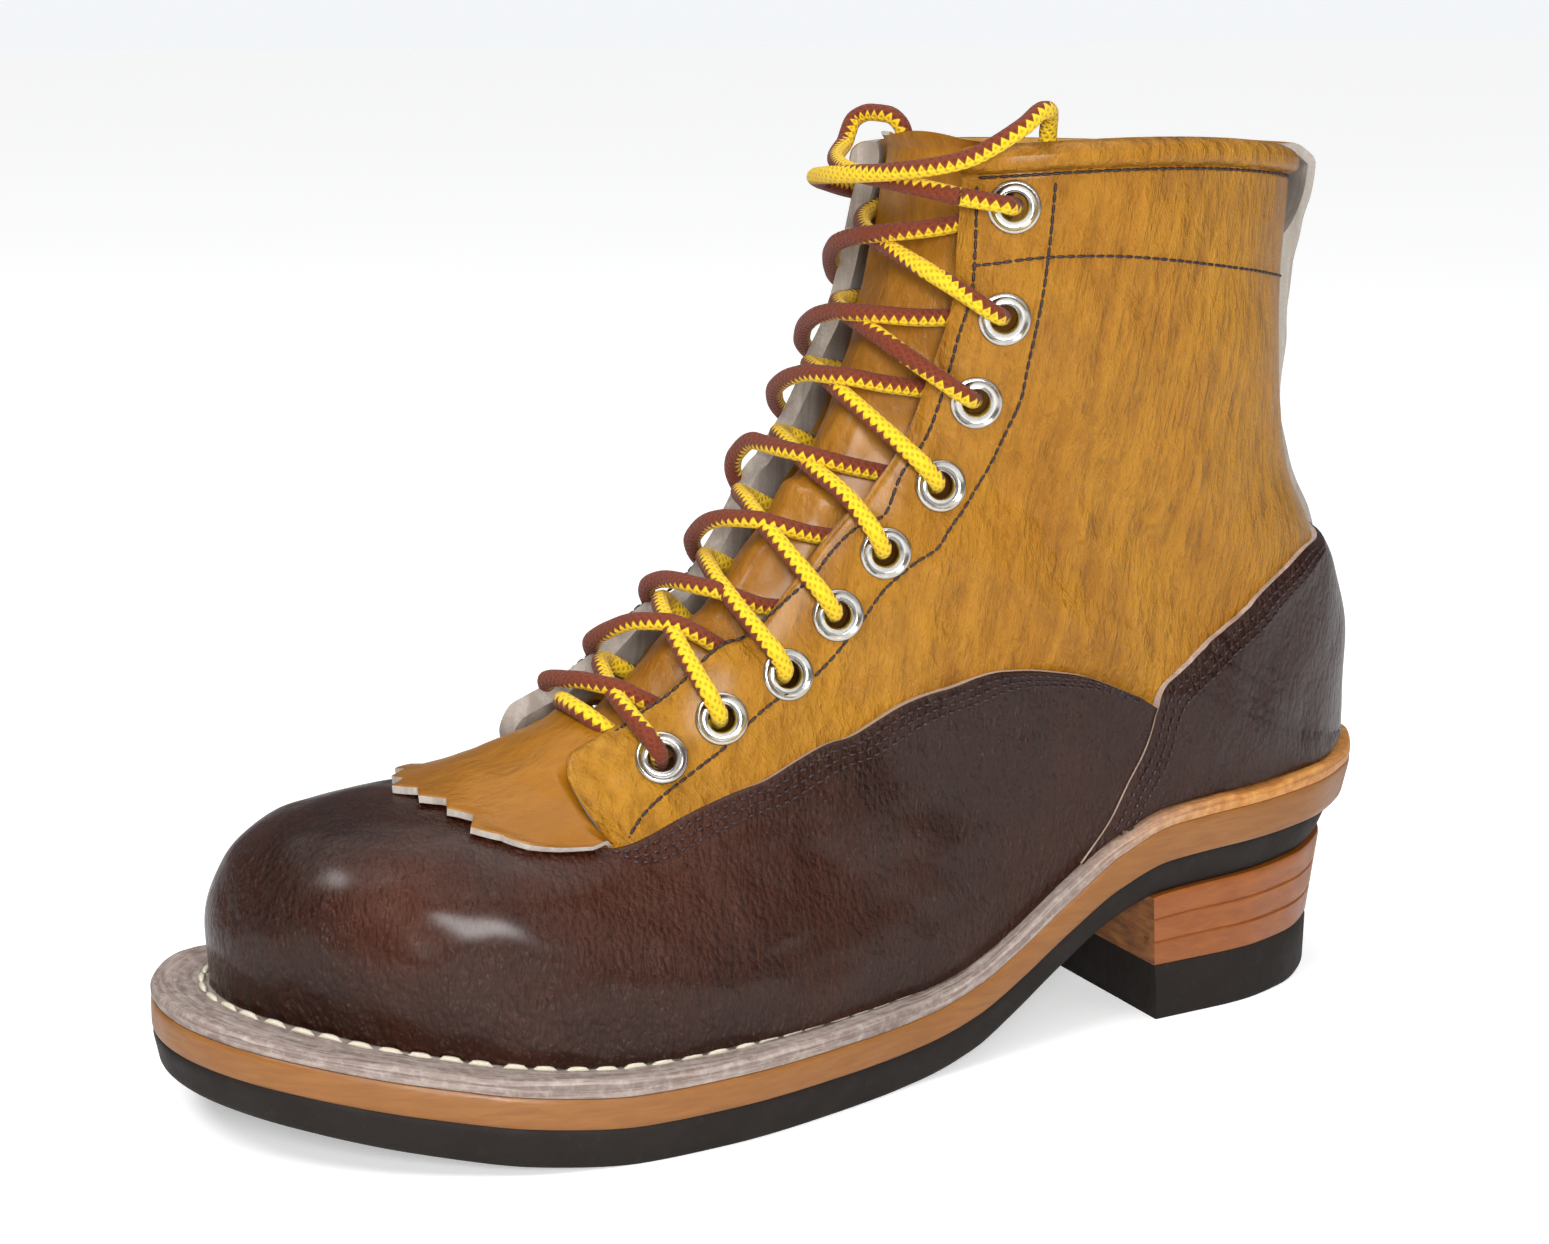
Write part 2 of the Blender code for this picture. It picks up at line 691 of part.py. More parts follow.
# Rows at which the sheets on the last are made, closest where the heel turns
TOE_LEVELS = np.array([0.0, 0.4, 1.0, 1.7, 2.5, 3.6, 5.0])
INSTEP_LEVELS = np.array([6.9, 7.6, 8.4])
HEEL_LEVELS = np.linspace(9.2, RING_ROW, 13)
SHAFT_LEVELS = np.array([12.5, 13.0, 13.5, 14.1, 14.8, 15.5, 16.1, 16.42, 16.56, 16.85, TOP_ROW])


def add_upper(material, collection):
    rows = np.concatenate([TOE_LEVELS, [6.0, 6.2, 6.4, 6.6], INSTEP_LEVELS, HEEL_LEVELS, SHAFT_LEVELS])
    points, faces = sheet_on_last(
        rows, throat, constant(1.0), constant(0.0), outer_wall, slot_row=6.0, ring_row=RING_ROW)
    return add_mesh("upper", points, faces, material, collection)


def add_vamp(material, collection):
    heel_rows = HEEL_LEVELS[HEEL_LEVELS < VAMP_TOP[-1, 0]]
    rows = np.concatenate([TOE_LEVELS, [5.6, 6.0, 6.4], INSTEP_LEVELS, heel_rows, VAMP_TOP[-1:, 0]])
    base = WALL + SHEET_GAP

    def outer(row):
        edge = smooth(COUNTER_FRONT, 1, row) - SEAM_SHARE
        return np.where(row <= COUNTER_FRONT[0, 0], 1.0, edge)

    points, faces = sheet_on_last(
        rows, lambda row: smooth(VAMP_TOP, 1, row), outer, constant(base), constant(base + VAMP_THICKNESS),
        slot_row=5.6)
    return add_mesh("vamp", points, faces, material, collection)


def add_counter(material, collection):
    """The counter runs round the heel, from one front edge over the back to the other."""
    rows = np.concatenate([[9.68], HEEL_LEVELS[HEEL_LEVELS > 9.8], [12.5, 12.8, 13.05, 13.3, 13.5]])
    base = WALL + SHEET_GAP
    share = np.linspace(0.0, 1.0, SIDE_COLUMNS + 1)
    front = smooth(COUNTER_FRONT, 1, rows)[:, None]
    right = front + (1.0 - front) * share[None, :]
    across = np.concatenate([right, -right[:, ::-1]], axis=1)
    row = np.repeat(rows[:, None], across.shape[1], axis=1)
    index = np.arange(row.size).reshape(row.shape)
    ring = rows >= RING_ROW - 1e-6
    grids = []
    for lift in (base, base + COUNTER_THICKNESS):
        grid = surface(row, across, constant(lift)(row))
        middle_line = (grid[ring, SIDE_COLUMNS] + grid[ring, SIDE_COLUMNS + 1]) / 2
        grid[ring, SIDE_COLUMNS] = middle_line
        grid[ring, SIDE_COLUMNS + 1] = middle_line
        grids.append(grid)
    index[ring, SIDE_COLUMNS + 1] = index[ring, SIDE_COLUMNS]
    points, faces = close_sheet(grids[0], grids[1], index, skip=SIDE_COLUMNS)
    points, faces = drop_unused(points, faces)
    return add_mesh("counter", points, faces, material, collection)


def add_tongue(material, collection):
    """The tongue lies inside the throat and laps under both of its edges; its top stands over the collar."""
    rows = np.concatenate([
        [TONGUE_ROOT_ROW, 6.3], INSTEP_LEVELS, HEEL_LEVELS[::2], SHAFT_LEVELS[1:6:2], [16.3, TOP_ROW]])
    half = inside_throat(np.maximum(rows, INSTEP_LEVELS[0]), TONGUE_LAP)
    share = np.linspace(-1.0, 1.0, TONGUE_COLUMNS + 1)
    row = np.repeat(rows[:, None], len(share), axis=1)
    across = half[:, None] * share[None, :]
    grids = []
    for lift in (-TONGUE_DEPTH - TONGUE_THICKNESS, -TONGUE_DEPTH):
        grid = surface(row, across, constant(lift)(row))
        top = grid[-1] + np.array([0.0, 0.0, 1.0]) * (TONGUE_RISE * (1.2 - share**2))[:, None]
        grids.append(np.concatenate([grid, top[None]], axis=0))
    index = np.arange(grids[0][..., 0].size).reshape(grids[0].shape[:2])
    points, faces = close_sheet(grids[0], grids[1], index)
    return add_mesh("tongue", points, faces, material, collection)


def add_kiltie(material, collection):
    """The kiltie comes out of the throat and climbs onto the vamp, where its front edge is cut in teeth."""
    share = np.linspace(-1.0, 1.0, 2 * KILTIE_TEETH + 1)
    along = np.array([0.0, 0.09, 0.28, 0.48, 0.63, 0.80, 1.0])
    row_length = np.linalg.norm(ridge_point(KILTIE_FRONT[0, 1]) - ridge_point(KILTIE_FRONT[0, 1] - 1.0))
    tooth = (np.arange(len(share)) % 2) * KILTIE_TOOTH / row_length
    front = smooth(KILTIE_FRONT, 1, np.abs(share)) - tooth
    end = KILTIE_SIDE[-1, 0]
    row = front[None, :] + (end - front[None, :]) * along[:, None]
    across = smooth(KILTIE_SIDE, 1, row) * share[None, :]
    climb = smooth(KILTIE_LIFT, 1, row)
    low = -SHEET_GAP + climb * (WALL + VAMP_THICKNESS + KILTIE_CLIMB)
    grids = [surface(row, across, lift) for lift in (low, low + KILTIE_THICKNESS)]
    index = np.arange(row.size).reshape(row.shape)
    points, faces = close_sheet(grids[0], grids[1], index)
    return add_mesh("kiltie", points, faces, material, collection)


def add_backstay(material, collection):
    """Strip up the back of the shaft, over the collar as a pull loop and down inside."""
    outside = WALL + SHEET_GAP + BACKSTAY_THICKNESS / 2
    inside = -2 * SHEET_GAP - BACKSTAY_THICKNESS / 2
    rows, rise, level = BACKSTAY_PATH.T
    rise = rise * MM
    stand = PULL_LOOP_STAND + COLLAR_ROLL
    stand_off = outside + np.where(level > 0, stand, outside - inside) * level
    half = 0.5 * BACKSTAY_WIDTH / np.linalg.norm(last_point(16.0, 1.0) - last_point(16.0, 0.98)) * 0.02
    offsets = np.linspace(-half, half, 5)
    grids = [np.zeros((len(rows), len(offsets), 3)) for _ in range(2)]
    for j, offset in enumerate(offsets):
        u = 1.0 - offset if offset >= 0 else -1.0 - offset
        base = surface(rows, np.full_like(rows, u), np.zeros_like(rows))
        normal = surface(rows, np.full_like(rows, u), np.ones_like(rows)) - base
        normal[:, 2] *= np.clip(LOOP_START_ROW - rows, 0.0, 1.0)
        normal /= np.linalg.norm(normal, axis=-1, keepdims=True)
        middle = base + normal * stand_off[:, None]
        middle[:, 2] += rise
        height = middle[:, 2]
        away = (middle * normal).sum(-1)
        d_away, d_height = np.gradient(away), np.gradient(height)
        length = np.hypot(d_away, d_height)
        for grid, sign in zip(grids, (-0.5, 0.5)):
            move = sign * BACKSTAY_THICKNESS
            grid[:, j] = middle + normal * (move * d_height / length)[:, None]
            grid[:, j, 2] -= move * d_away / length
    index = np.arange(len(rows) * len(offsets)).reshape(len(rows), len(offsets))
    points, faces = close_sheet(grids[0], grids[1], index)
    return add_mesh("backstay", points, faces, material, collection)


def eyelet_line():
    """Rows and shares across of the eyelets, spaced along the line that runs inside the throat's edge."""
    rows = np.linspace(*EYELET_ROWS, 200)
    across = inside_throat(rows, EYELET_INSET)
    points = last_point(rows, across)
    walked = np.concatenate([[0.0], np.cumsum(np.linalg.norm(np.diff(points, axis=0), axis=-1))])
    places = np.array(EYELET_PLACES) * walked[-1]
    return np.interp(places, walked, rows), np.interp(places, walked, across)


def eyelet_frames():
    """Name, place on the upper's outside and outward direction of every eyelet."""
    rows, across = eyelet_line()
    frames = []
    for side, mark in ((1.0, "outer"), (-1.0, "inner")):
        place = surface(rows, across * side, constant(WALL)(rows))
        root = surface(rows, across * side, constant(0.0)(rows))
        for i in range(len(rows)):
            direction = Vector(place[i] - root[i]).normalized()
            frames.append(("eyelet_%s_%d" % (mark, i + 1), Vector(place[i]), direction))
    return frames


def eyelet_profile(material):
    """Closed profile of a ring with its crown outside the leather and a barrel through it, in the XZ plane."""
    profile = (
        (EYELET_BORE, -WALL),
        (EYELET_BORE + CROWN_ROUND, EYELET_CROWN),
        (EYELET_RADIUS, SHEET_GAP),
        (EYELET_BARREL, SHEET_GAP),
        (EYELET_BARREL, -WALL),
    )
    count = len(profile)
    mesh = bpy.data.meshes.new("eyelet")
    mesh.from_pydata([(r, 0.0, z) for r, z in profile], [(i, (i + 1) % count) for i in range(count)], [])
    mesh.materials.append(material)
    return mesh


def add_eyelets(upper, material, collection, cutters):
    """The eyelets, and their holes in the upper."""
    profile = eyelet_profile(material)
    drill = bmesh.new()
    for name, place, direction in eyelet_frames():
        turn = direction.to_track_quat("Z", "X").to_matrix().to_4x4()
        eyelet = bpy.data.objects.new(name, profile)
        eyelet.matrix_world = Matrix.Translation(place) @ turn
        collection.objects.link(eyelet)
        turned = eyelet.modifiers.new("turned", "SCREW")
        turned.angle = 2 * math.pi
        turned.steps = ROUND_STEPS
        turned.render_steps = ROUND_STEPS
        turned.use_merge_vertices = True
        turned.merge_threshold = 0.00001
        turned.use_normal_calculate = True
        turned.use_normal_flip = True
        bmesh.ops.create_cone(
            drill, cap_ends=True, segments=ROUND_STEPS, radius1=EYELET_BARREL + 2 * GAP,
            radius2=EYELET_BARREL + 2 * GAP, depth=4 * WALL,
            matrix=Matrix.Translation(place - direction * WALL / 2) @ turn)
    mesh = bpy.data.meshes.new("eyelet_holes")
    drill.to_mesh(mesh)
    drill.free()
    holes = bpy.data.objects.new("eyelet_holes", mesh)
    holes.hide_render = True
    holes.display_type = "WIRE"
    cutters.objects.link(holes)
    cut = upper.modifiers.new("eyelet holes", "BOOLEAN")
    cut.operation = "DIFFERENCE"
    cut.object = holes
    cut.solver = "EXACT"


def tube_from(name, points, diameter, material, collection):
    """Round tube with filled caps along a path, as a curve made a mesh."""
    curve = bpy.data.curves.new(name, "CURVE")
    curve.dimensions = "3D"
    curve.bevel_depth = diameter / 2
    curve.bevel_resolution = 1
    curve.use_fill_caps = True
    spline = curve.splines.new("POLY")
    spline.points.add(len(points) - 1)
    for target, point in zip(spline.points, points):
        target.co = (*point, 1.0)
    curve.materials.append(material)
    tube = bpy.data.objects.new(name, curve)
    collection.objects.link(tube)
    return tube


def as_mesh(tube, collection):
    """The curve object made a welded mesh object."""
    graph = bpy.context.evaluated_depsgraph_get()
    mesh = bpy.data.meshes.new_from_object(tube.evaluated_get(graph))
    body = bmesh.new()
    body.from_mesh(mesh)
    bmesh.ops.remove_doubles(body, verts=body.verts, dist=0.00001)
    bmesh.ops.recalc_face_normals(body, faces=body.faces)
    body.to_mesh(mesh)
    body.free()
    name = tube.name
    bpy.data.objects.remove(tube, do_unlink=True)
    piece = bpy.data.objects.new(name, mesh)
    collection.objects.link(piece)
    return piece


def lace_path(start_side, with_bar):
    """Zigzag of one strand up the eyelets, over the throat at one height above the upper."""
    rows, across = eyelet_line()
    stops = [(rows[i], across[i] * start_side * (-1) ** i) for i in range(len(rows))]
    if with_bar:
        stops.insert(0, (rows[0], -across[0] * start_side))
    points = []
    for (row_a, u_a), (row_b, u_b) in zip(stops[:-1], stops[1:]):
        for k in range(CROSSING_STEPS):
            share = k / CROSSING_STEPS
            points.append((row_a + (row_b - row_a) * share, u_a + (u_b - u_a) * share))
    points.append(stops[-1])
    row, u = np.array(points).T
    return surface(row, u, constant(LACE_LIFT)(row))


def add_lace(material, collection, cutters):
    """Both strands' crossings and the bottom bar, joined where they cross."""
    first = as_mesh(tube_from("lace", lace_path(1.0, True), LACE_DIAMETER, material, collection), collection)
    second_path = lace_path(-1.0, False)
    second_path[0] += (second_path[1] - second_path[0]) * 0.12
    second = as_mesh(tube_from("lace_second", second_path, LACE_DIAMETER, material, cutters), cutters)
    second.hide_render = True
    second.display_type = "WIRE"
    join = first.modifiers.new("crossings", "BOOLEAN")
    join.operation = "UNION"
    join.object = second
    join.solver = "EXACT"


# Loose ends of the lace, from the top eyelets over the collar into the boot:
# row, share across, height of the cord's middle over the last in mm, rise over the row in mm.
END_OUTER = (
    (16.22, 0.175, 7.4, 0.0), (16.36, 0.10, 7.8, 0.0), (16.48, 0.0, 8.0, 0.0), (16.62, -0.10, 7.6, 0.0),
    (16.84, -0.19, 7.6, 0.6), (17.0, -0.215, 6.6, 4.2), (17.0, -0.215, 2.6, 6.2), (17.0, -0.205, -2.2, 6.2),
    (17.0, -0.200, -5.8, 3.6), (17.0, -0.200, -6.8, -1.0), (16.6, -0.205, -6.8, 0.0), (16.2, -0.21, -6.8, 0.0),
    (15.6, -0.22, -6.8, 0.0), (15.0, -0.23, -6.8, 0.0),
)
END_INNER = (
    (16.24, -0.165, 11.5, 0.0), (16.32, -0.08, 12.1, 0.0), (16.42, 0.0, 12.4, 0.0), (16.56, 0.09, 12.1, 0.0),
    (16.76, 0.18, 11.0, 0.4), (17.0, 0.25, 8.8, 3.6), (17.0, 0.28, 4.0, 6.8), (17.0, 0.295, -1.4, 6.2),
    (17.0, 0.30, -5.0, 2.6), (17.0, 0.30, -6.0, -2.0), (16.6, 0.30, -6.4, 0.0), (16.2, 0.30, -6.4, 0.0),
    (15.6, 0.30, -6.4, 0.0), (15.0, 0.30, -6.4, 0.0),
)


def end_path(stops):
    """Smooth curve through a loose end's own points."""
    row, u, lift, rise = np.array(stops).T
    points = surface(row, u, lift * MM)
    points[:, 2] += rise * MM
    walked = np.concatenate([[0.0], np.cumsum(np.linalg.norm(np.diff(points, axis=0), axis=-1))])
    table = np.concatenate([walked[:, None], points], axis=1)
    steps = np.linspace(0.0, walked[-1], int(walked[-1] / END_STEP) + 1)
    return np.stack([smooth(table, axis, steps) for axis in (1, 2, 3)], -1)


def main():
    clear_scene()
    collection = bpy.data.collections.new("logger_boot")
    cutters = bpy.data.collections.new("logger_boot_cutters")
    bpy.context.scene.collection.children.link(collection)
    bpy.context.scene.collection.children.link(cutters)

    rubber = make_material("outsole rubber", (0.022, 0.019, 0.018), 0.62)
    cap_rubber = make_material("heel cap rubber", (0.024, 0.021, 0.020), 0.66)
    midsole_leather = make_material("midsole leather", (0.52, 0.25, 0.085), 0.48)
    stack_leather = make_material("heel stack leather", (0.50, 0.22, 0.075), 0.42)
    flange_leather = make_material("flange leather", (0.36, 0.31, 0.26), 0.85)
    insole_leather = make_material("insole leather", (0.55, 0.40, 0.24), 0.80)
    tan = make_material("tan upper leather", (0.56, 0.30, 0.075), 0.45)
    tongue_tan = make_material("tongue leather", (0.50, 0.25, 0.06), 0.48)
    kiltie_tan = make_material("kiltie leather", (0.54, 0.27, 0.07), 0.48)
    brown = make_material("vamp leather", (0.055, 0.020, 0.014), 0.32)
    counter_brown = make_material("counter leather", (0.055, 0.020, 0.014), 0.34)
    strap_tan = make_material("backstay leather", (0.54, 0.28, 0.075), 0.46)
    nickel = make_material("eyelet nickel", (0.72, 0.70, 0.66), 0.22, 1.0)
    cord = make_material("lace braid", (0.62, 0.36, 0.03), 0.75)

    under = lambda y: sole_level(y, 0)
    edge = lambda station: 0.0 * station
    sloped = lambda station: heel_inset(OUTSOLE_FOOT_SET)(station) + SOLE_EDGE_SLOPE
    add_layer(
        "outsole", under, lambda y: sole_level(y, 1), sloped, heel_inset(OUTSOLE_TOP_SET), rubber, collection)
    add_layer(
        "midsole", lambda y: sole_level(y, 1) + 1.3 * GAP, lambda y: sole_level(y, 2),
        heel_inset(MIDSOLE_FOOT_SET), edge, midsole_leather, collection)
    add_flange(flange_leather, collection)
    add_heel(
        "heel_stack", constant(HEEL_CAP_THICKNESS), lambda y: under(y) - 2 * GAP,
        CAP_TOP_SET, STACK_TOP_SET, STACK_LEAN, stack_leather, collection)
    add_heel(
        "heel_cap", constant(0.0), constant(HEEL_CAP_THICKNESS - GAP),
        CAP_FOOT_SET, CAP_TOP_SET, CAP_LEAN, cap_rubber, collection)
    add_insole(insole_leather, collection)
    upper = add_upper(tan, collection)
    add_vamp(brown, collection)
    add_counter(counter_brown, collection)
    add_backstay(strap_tan, collection)
    add_tongue(tongue_tan, collection)
    add_kiltie(kiltie_tan, collection)
    add_eyelets(upper, nickel, collection, cutters)
    add_lace(cord, collection, cutters)
    tube_from("lace_end_outer", end_path(END_OUTER), LACE_DIAMETER, cord, collection)
    tube_from("lace_end_inner", end_path(END_INNER), LACE_DIAMETER, cord, collection)


main()
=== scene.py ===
# Logger boot, left foot: its looks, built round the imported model.
# Toe towards -Y, outer side of the foot towards +X, +Z up, metres.
import json
import math
import bpy
import numpy as np
from mathutils import Matrix

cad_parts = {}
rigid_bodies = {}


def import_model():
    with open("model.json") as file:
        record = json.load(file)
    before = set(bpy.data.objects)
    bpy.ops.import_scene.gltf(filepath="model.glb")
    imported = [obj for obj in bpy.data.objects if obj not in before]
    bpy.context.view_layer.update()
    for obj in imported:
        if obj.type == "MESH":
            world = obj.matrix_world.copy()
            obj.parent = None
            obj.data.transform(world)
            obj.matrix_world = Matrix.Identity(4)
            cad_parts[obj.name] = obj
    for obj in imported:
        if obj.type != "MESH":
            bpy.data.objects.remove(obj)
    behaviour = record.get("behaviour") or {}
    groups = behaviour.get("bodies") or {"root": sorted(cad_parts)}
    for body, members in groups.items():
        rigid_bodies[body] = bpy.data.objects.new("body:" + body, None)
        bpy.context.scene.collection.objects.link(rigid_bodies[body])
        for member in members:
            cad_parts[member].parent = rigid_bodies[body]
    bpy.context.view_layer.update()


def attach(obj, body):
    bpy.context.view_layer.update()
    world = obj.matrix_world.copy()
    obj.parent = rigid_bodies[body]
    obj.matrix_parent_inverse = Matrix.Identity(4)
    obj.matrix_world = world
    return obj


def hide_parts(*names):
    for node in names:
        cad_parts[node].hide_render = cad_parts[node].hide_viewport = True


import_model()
mm = 0.001

# Sizes of the boot, as the solids have them
boot = {
    "soleLength": 308 * mm, "ballWidth": 110 * mm,
    "outsole": 9 * mm, "midsole": 7 * mm, "flange": 3.5 * mm, "flangeWidth": 17.5 * mm,
    "heelRise": 32 * mm, "toeSpring": 14 * mm, "heelCap": 14 * mm, "heelLength": 77 * mm,
    "heelUndercut": 12 * mm, "heelSideTaper": 3.5 * mm, "breastLean": 3 * mm, "edgeSlope": 1.5 * mm,
    "upperHeight": 150 * mm, "collarBackSet": 36 * mm, "collarOuterRise": 5 * mm,
    "seatGap": 0.65 * mm,
}

# Plan of the sole: station from the heel, half width and centre as shares of the ball's width, flange share
outline = np.array([
    # station half   centre  flange
    [0.000, 0.000, 0.000, 0.49], [0.020, 0.150, 0.000, 0.49], [0.050, 0.238, 0.000, 0.49],
    [0.110, 0.316, 0.000, 0.49], [0.190, 0.346, 0.003, 0.49], [0.260, 0.341, 0.012, 0.50],
    [0.360, 0.325, 0.029, 0.50], [0.460, 0.350, 0.043, 0.54], [0.560, 0.415, 0.040, 0.60],
    [0.655, 0.474, 0.021, 0.65], [0.725, 0.491, 0.002, 0.70], [0.785, 0.481, -0.016, 0.76],
    [0.850, 0.437, -0.036, 0.86], [0.900, 0.382, -0.050, 0.94], [0.950, 0.289, -0.064, 1.00],
    [0.980, 0.190, -0.072, 1.00], [1.000, 0.000, -0.075, 1.00],
])

# Underside: station, heel and toe heights as shares, and shares of the two soles' thickness
underside = np.array([
    # station heel spring outsole midsole
    [0.000, 1.130, 0.00, 1.00, 1.36], [0.130, 1.060, 0.00, 1.00, 1.34], [0.250, 1.000, 0.00, 0.98, 1.30],
    [0.295, 0.860, 0.00, 0.96, 1.24], [0.340, 0.600, 0.00, 0.96, 1.16], [0.385, 0.330, 0.00, 0.96, 1.10],
    [0.430, 0.130, 0.00, 0.98, 1.04], [0.480, 0.020, 0.00, 1.00, 1.00], [0.520, 0.000, 0.00, 1.00, 1.00],
    [0.720, 0.000, 0.00, 1.00, 1.00], [0.800, 0.000, 0.16, 1.00, 1.00], [0.870, 0.000, 0.44, 0.96, 1.00],
    [0.940, 0.000, 0.76, 0.90, 1.00], [1.000, 0.000, 1.00, 0.84, 1.00],
])

# Rows of the last: where each ends on the edge, the ridge's station and height, and the shape of its curve
lastRows = np.array([
    # row edge station height follow lean crown flank swell
    [0.0, 0.300, 0.943, 0.000, 0.0, 90.0, 0.24, 0.22, 0.000],
    [1.0, 0.314, 0.945, 0.082, 0.0, 78.0, 0.26, 0.24, 0.010],
    [2.0, 0.330, 0.932, 0.170, 0.0, 55.0, 0.28, 0.26, 0.016],
    [3.0, 0.346, 0.905, 0.227, 0.0, 30.0, 0.29, 0.27, 0.020],
    [4.0, 0.364, 0.862, 0.263, 0.0, 16.0, 0.29, 0.27, 0.020],
    [5.0, 0.388, 0.810, 0.290, 0.0, 12.0, 0.28, 0.26, 0.018],
    [6.0, 0.420, 0.760, 0.330, 0.0, 14.0, 0.26, 0.26, 0.016],
    [7.0, 0.465, 0.715, 0.403, 0.0, 20.0, 0.24, 0.27, 0.014],
    [8.0, 0.530, 0.665, 0.483, 0.0, 28.0, 0.23, 0.28, 0.012],
    [9.0, 0.610, 0.615, 0.583, 0.0, 38.0, 0.23, 0.30, 0.012],
    [10.0, 0.710, 0.570, 0.555, 0.5, 50.0, 0.24, 0.34, 0.014],
    [11.0, 0.850, 0.530, 0.533, 1.0, 68.0, 0.29, 0.36, 0.016],
    [12.0, 1.000, 0.505, 0.620, 1.0, 90.0, 0.34, 0.36, 0.000],
    [13.0, 1.230, 0.487, 0.700, 1.0, 90.0, 0.39, 0.40, 0.000],
    [14.0, 1.450, 0.474, 0.767, 1.0, 90.0, 0.42, 0.43, 0.000],
    [15.0, 1.650, 0.461, 0.843, 1.0, 90.0, 0.445, 0.445, 0.000],
    [16.0, 1.830, 0.453, 0.917, 1.0, 90.0, 0.45, 0.45, 0.000],
    [17.0, 1.985, 0.447, 1.000, 1.0, 90.0, 0.455, 0.455, 0.000],
])
backProfile = np.array([
    # height set
    [0.00, 0.250], [0.15, 0.290], [0.22, 0.360], [0.32, 0.520], [0.455, 0.800],
    [0.53, 0.900], [0.63, 0.965], [0.74, 1.000], [1.00, 0.985],
])

# Edges on the last, as row and share across from the ridge to the row's end
throatEdge = np.array([
    [6.00, 0.370], [6.40, 0.250], [6.60, 0.195], [6.90, 0.158], [7.40, 0.160], [8.20, 0.185], [9.20, 0.208],
    [10.4, 0.215], [11.6, 0.182], [13.0, 0.175], [14.3, 0.185], [15.4, 0.172], [17.0, 0.160],
])
vampTop = np.array([
    [5.60, 0.372], [5.90, 0.404], [6.40, 0.414], [7.00, 0.424], [7.70, 0.436], [8.40, 0.452], [9.10, 0.466],
    [9.60, 0.484], [9.90, 0.513], [10.3, 0.564], [10.7, 0.602], [10.9, 0.622], [11.06, 0.668],
])
counterFront = np.array([
    [9.60, 0.998], [9.84, 0.966], [10.14, 0.910], [10.54, 0.826], [10.98, 0.718], [11.48, 0.630],
    [12.0, 0.598], [12.52, 0.630], [13.0, 0.696], [13.26, 0.756], [13.44, 0.850], [13.6, 0.970],
])


# Vectors scaled to length 1
def unit(vectors):
    return vectors / np.linalg.norm(vectors, axis=-1, keepdims=True)


# Length walked along a curve up to each of its points, from 0
def walkedAlong(points):
    return np.concatenate([[0.0], np.cumsum(np.linalg.norm(np.diff(points, axis=0), axis=-1))])


# Cubic through a table's column that never overshoots: its tangents are weighted harmonic means of the slopes
def smooth(table, column, x):
    xs, ys = table[:, 0], table[:, column]
    x = np.clip(np.asarray(x, float), xs[0], xs[-1])
    step = np.diff(xs)
    slope = np.diff(ys) / step
    tangent = np.zeros_like(ys)
    tangent[0], tangent[-1] = slope[0], slope[-1]
    same = slope[:-1] * slope[1:] > 0
    w1, w2 = 2 * step[1:] + step[:-1], step[1:] + 2 * step[:-1]
    product = np.where(same, slope[:-1] * slope[1:], 1.0)
    weighted = np.where(same, w1 * slope[1:] + w2 * slope[:-1], 1.0)
    tangent[1:-1] = np.where(same, (w1 + w2) * product / weighted, 0.0)
    i = np.clip(np.searchsorted(xs, x, side="right") - 1, 0, len(step) - 1)
    t = (x - xs[i]) / step[i]
    return ((2 * t**3 - 3 * t**2 + 1) * ys[i] + (t**3 - 2 * t**2 + t) * step[i] * tangent[i]
            + (3 * t**2 - 2 * t**3) * ys[i + 1] + (t**3 - t**2) * step[i] * tangent[i + 1])


# Sole's plan curve on each side, set in by inset(station): x = centre +- half width, moved along its normal
def planLoop(inset):
    station = (1.0 + np.cos(np.linspace(0.0, math.pi, 721))) / 2
    squared = outline.copy()
    squared[:, 1] **= 2
    half = boot["ballWidth"] * np.sqrt(np.maximum(smooth(squared, 1, station), 0.0))
    centre = boot["ballWidth"] * smooth(outline, 2, station)
    sides = []
    for side in (-1.0, 1.0):
        x = centre + side * half
        y = boot["soleLength"] * (0.5 - station)
        dx, dy = np.gradient(x), np.gradient(y)
        dx[0], dy[0], dx[-1], dy[-1] = side, 0.0, -side, 0.0
        length = np.hypot(dx, dy)
        move = inset(station)
        x, y = x - side * move * dy / length, y + side * move * dx / length
        walked = np.concatenate([[0.0], np.cumsum(np.hypot(np.diff(x), np.diff(y)))])
        sides.append((walked / walked[-1], x, y))
    return sides


# Point at a share of the way along one side of a plan loop
def planPoint(loop, edge, side):
    walked, x, y = loop[1 if side > 0 else 0]
    return np.interp(edge, walked, x), np.interp(edge, walked, y)


# Height at y of the underside (0), and above outsole (1), midsole (2) and flange (3)
def soleLevel(y, layers):
    station = 0.5 - y / boot["soleLength"]
    z = boot["heelRise"] * smooth(underside, 1, station) + boot["toeSpring"] * smooth(underside, 2, station)
    thickness = (boot["outsole"] * smooth(underside, 3, station),
                 boot["midsole"] * smooth(underside, 4, station), boot["flange"])
    for layer in thickness[:layers]:
        z = z + layer
    return z


feather = planLoop(lambda station: boot["flangeWidth"] * smooth(outline, 3, station))
seatLevel = float(soleLevel(boot["soleLength"] * 0.40, 3))


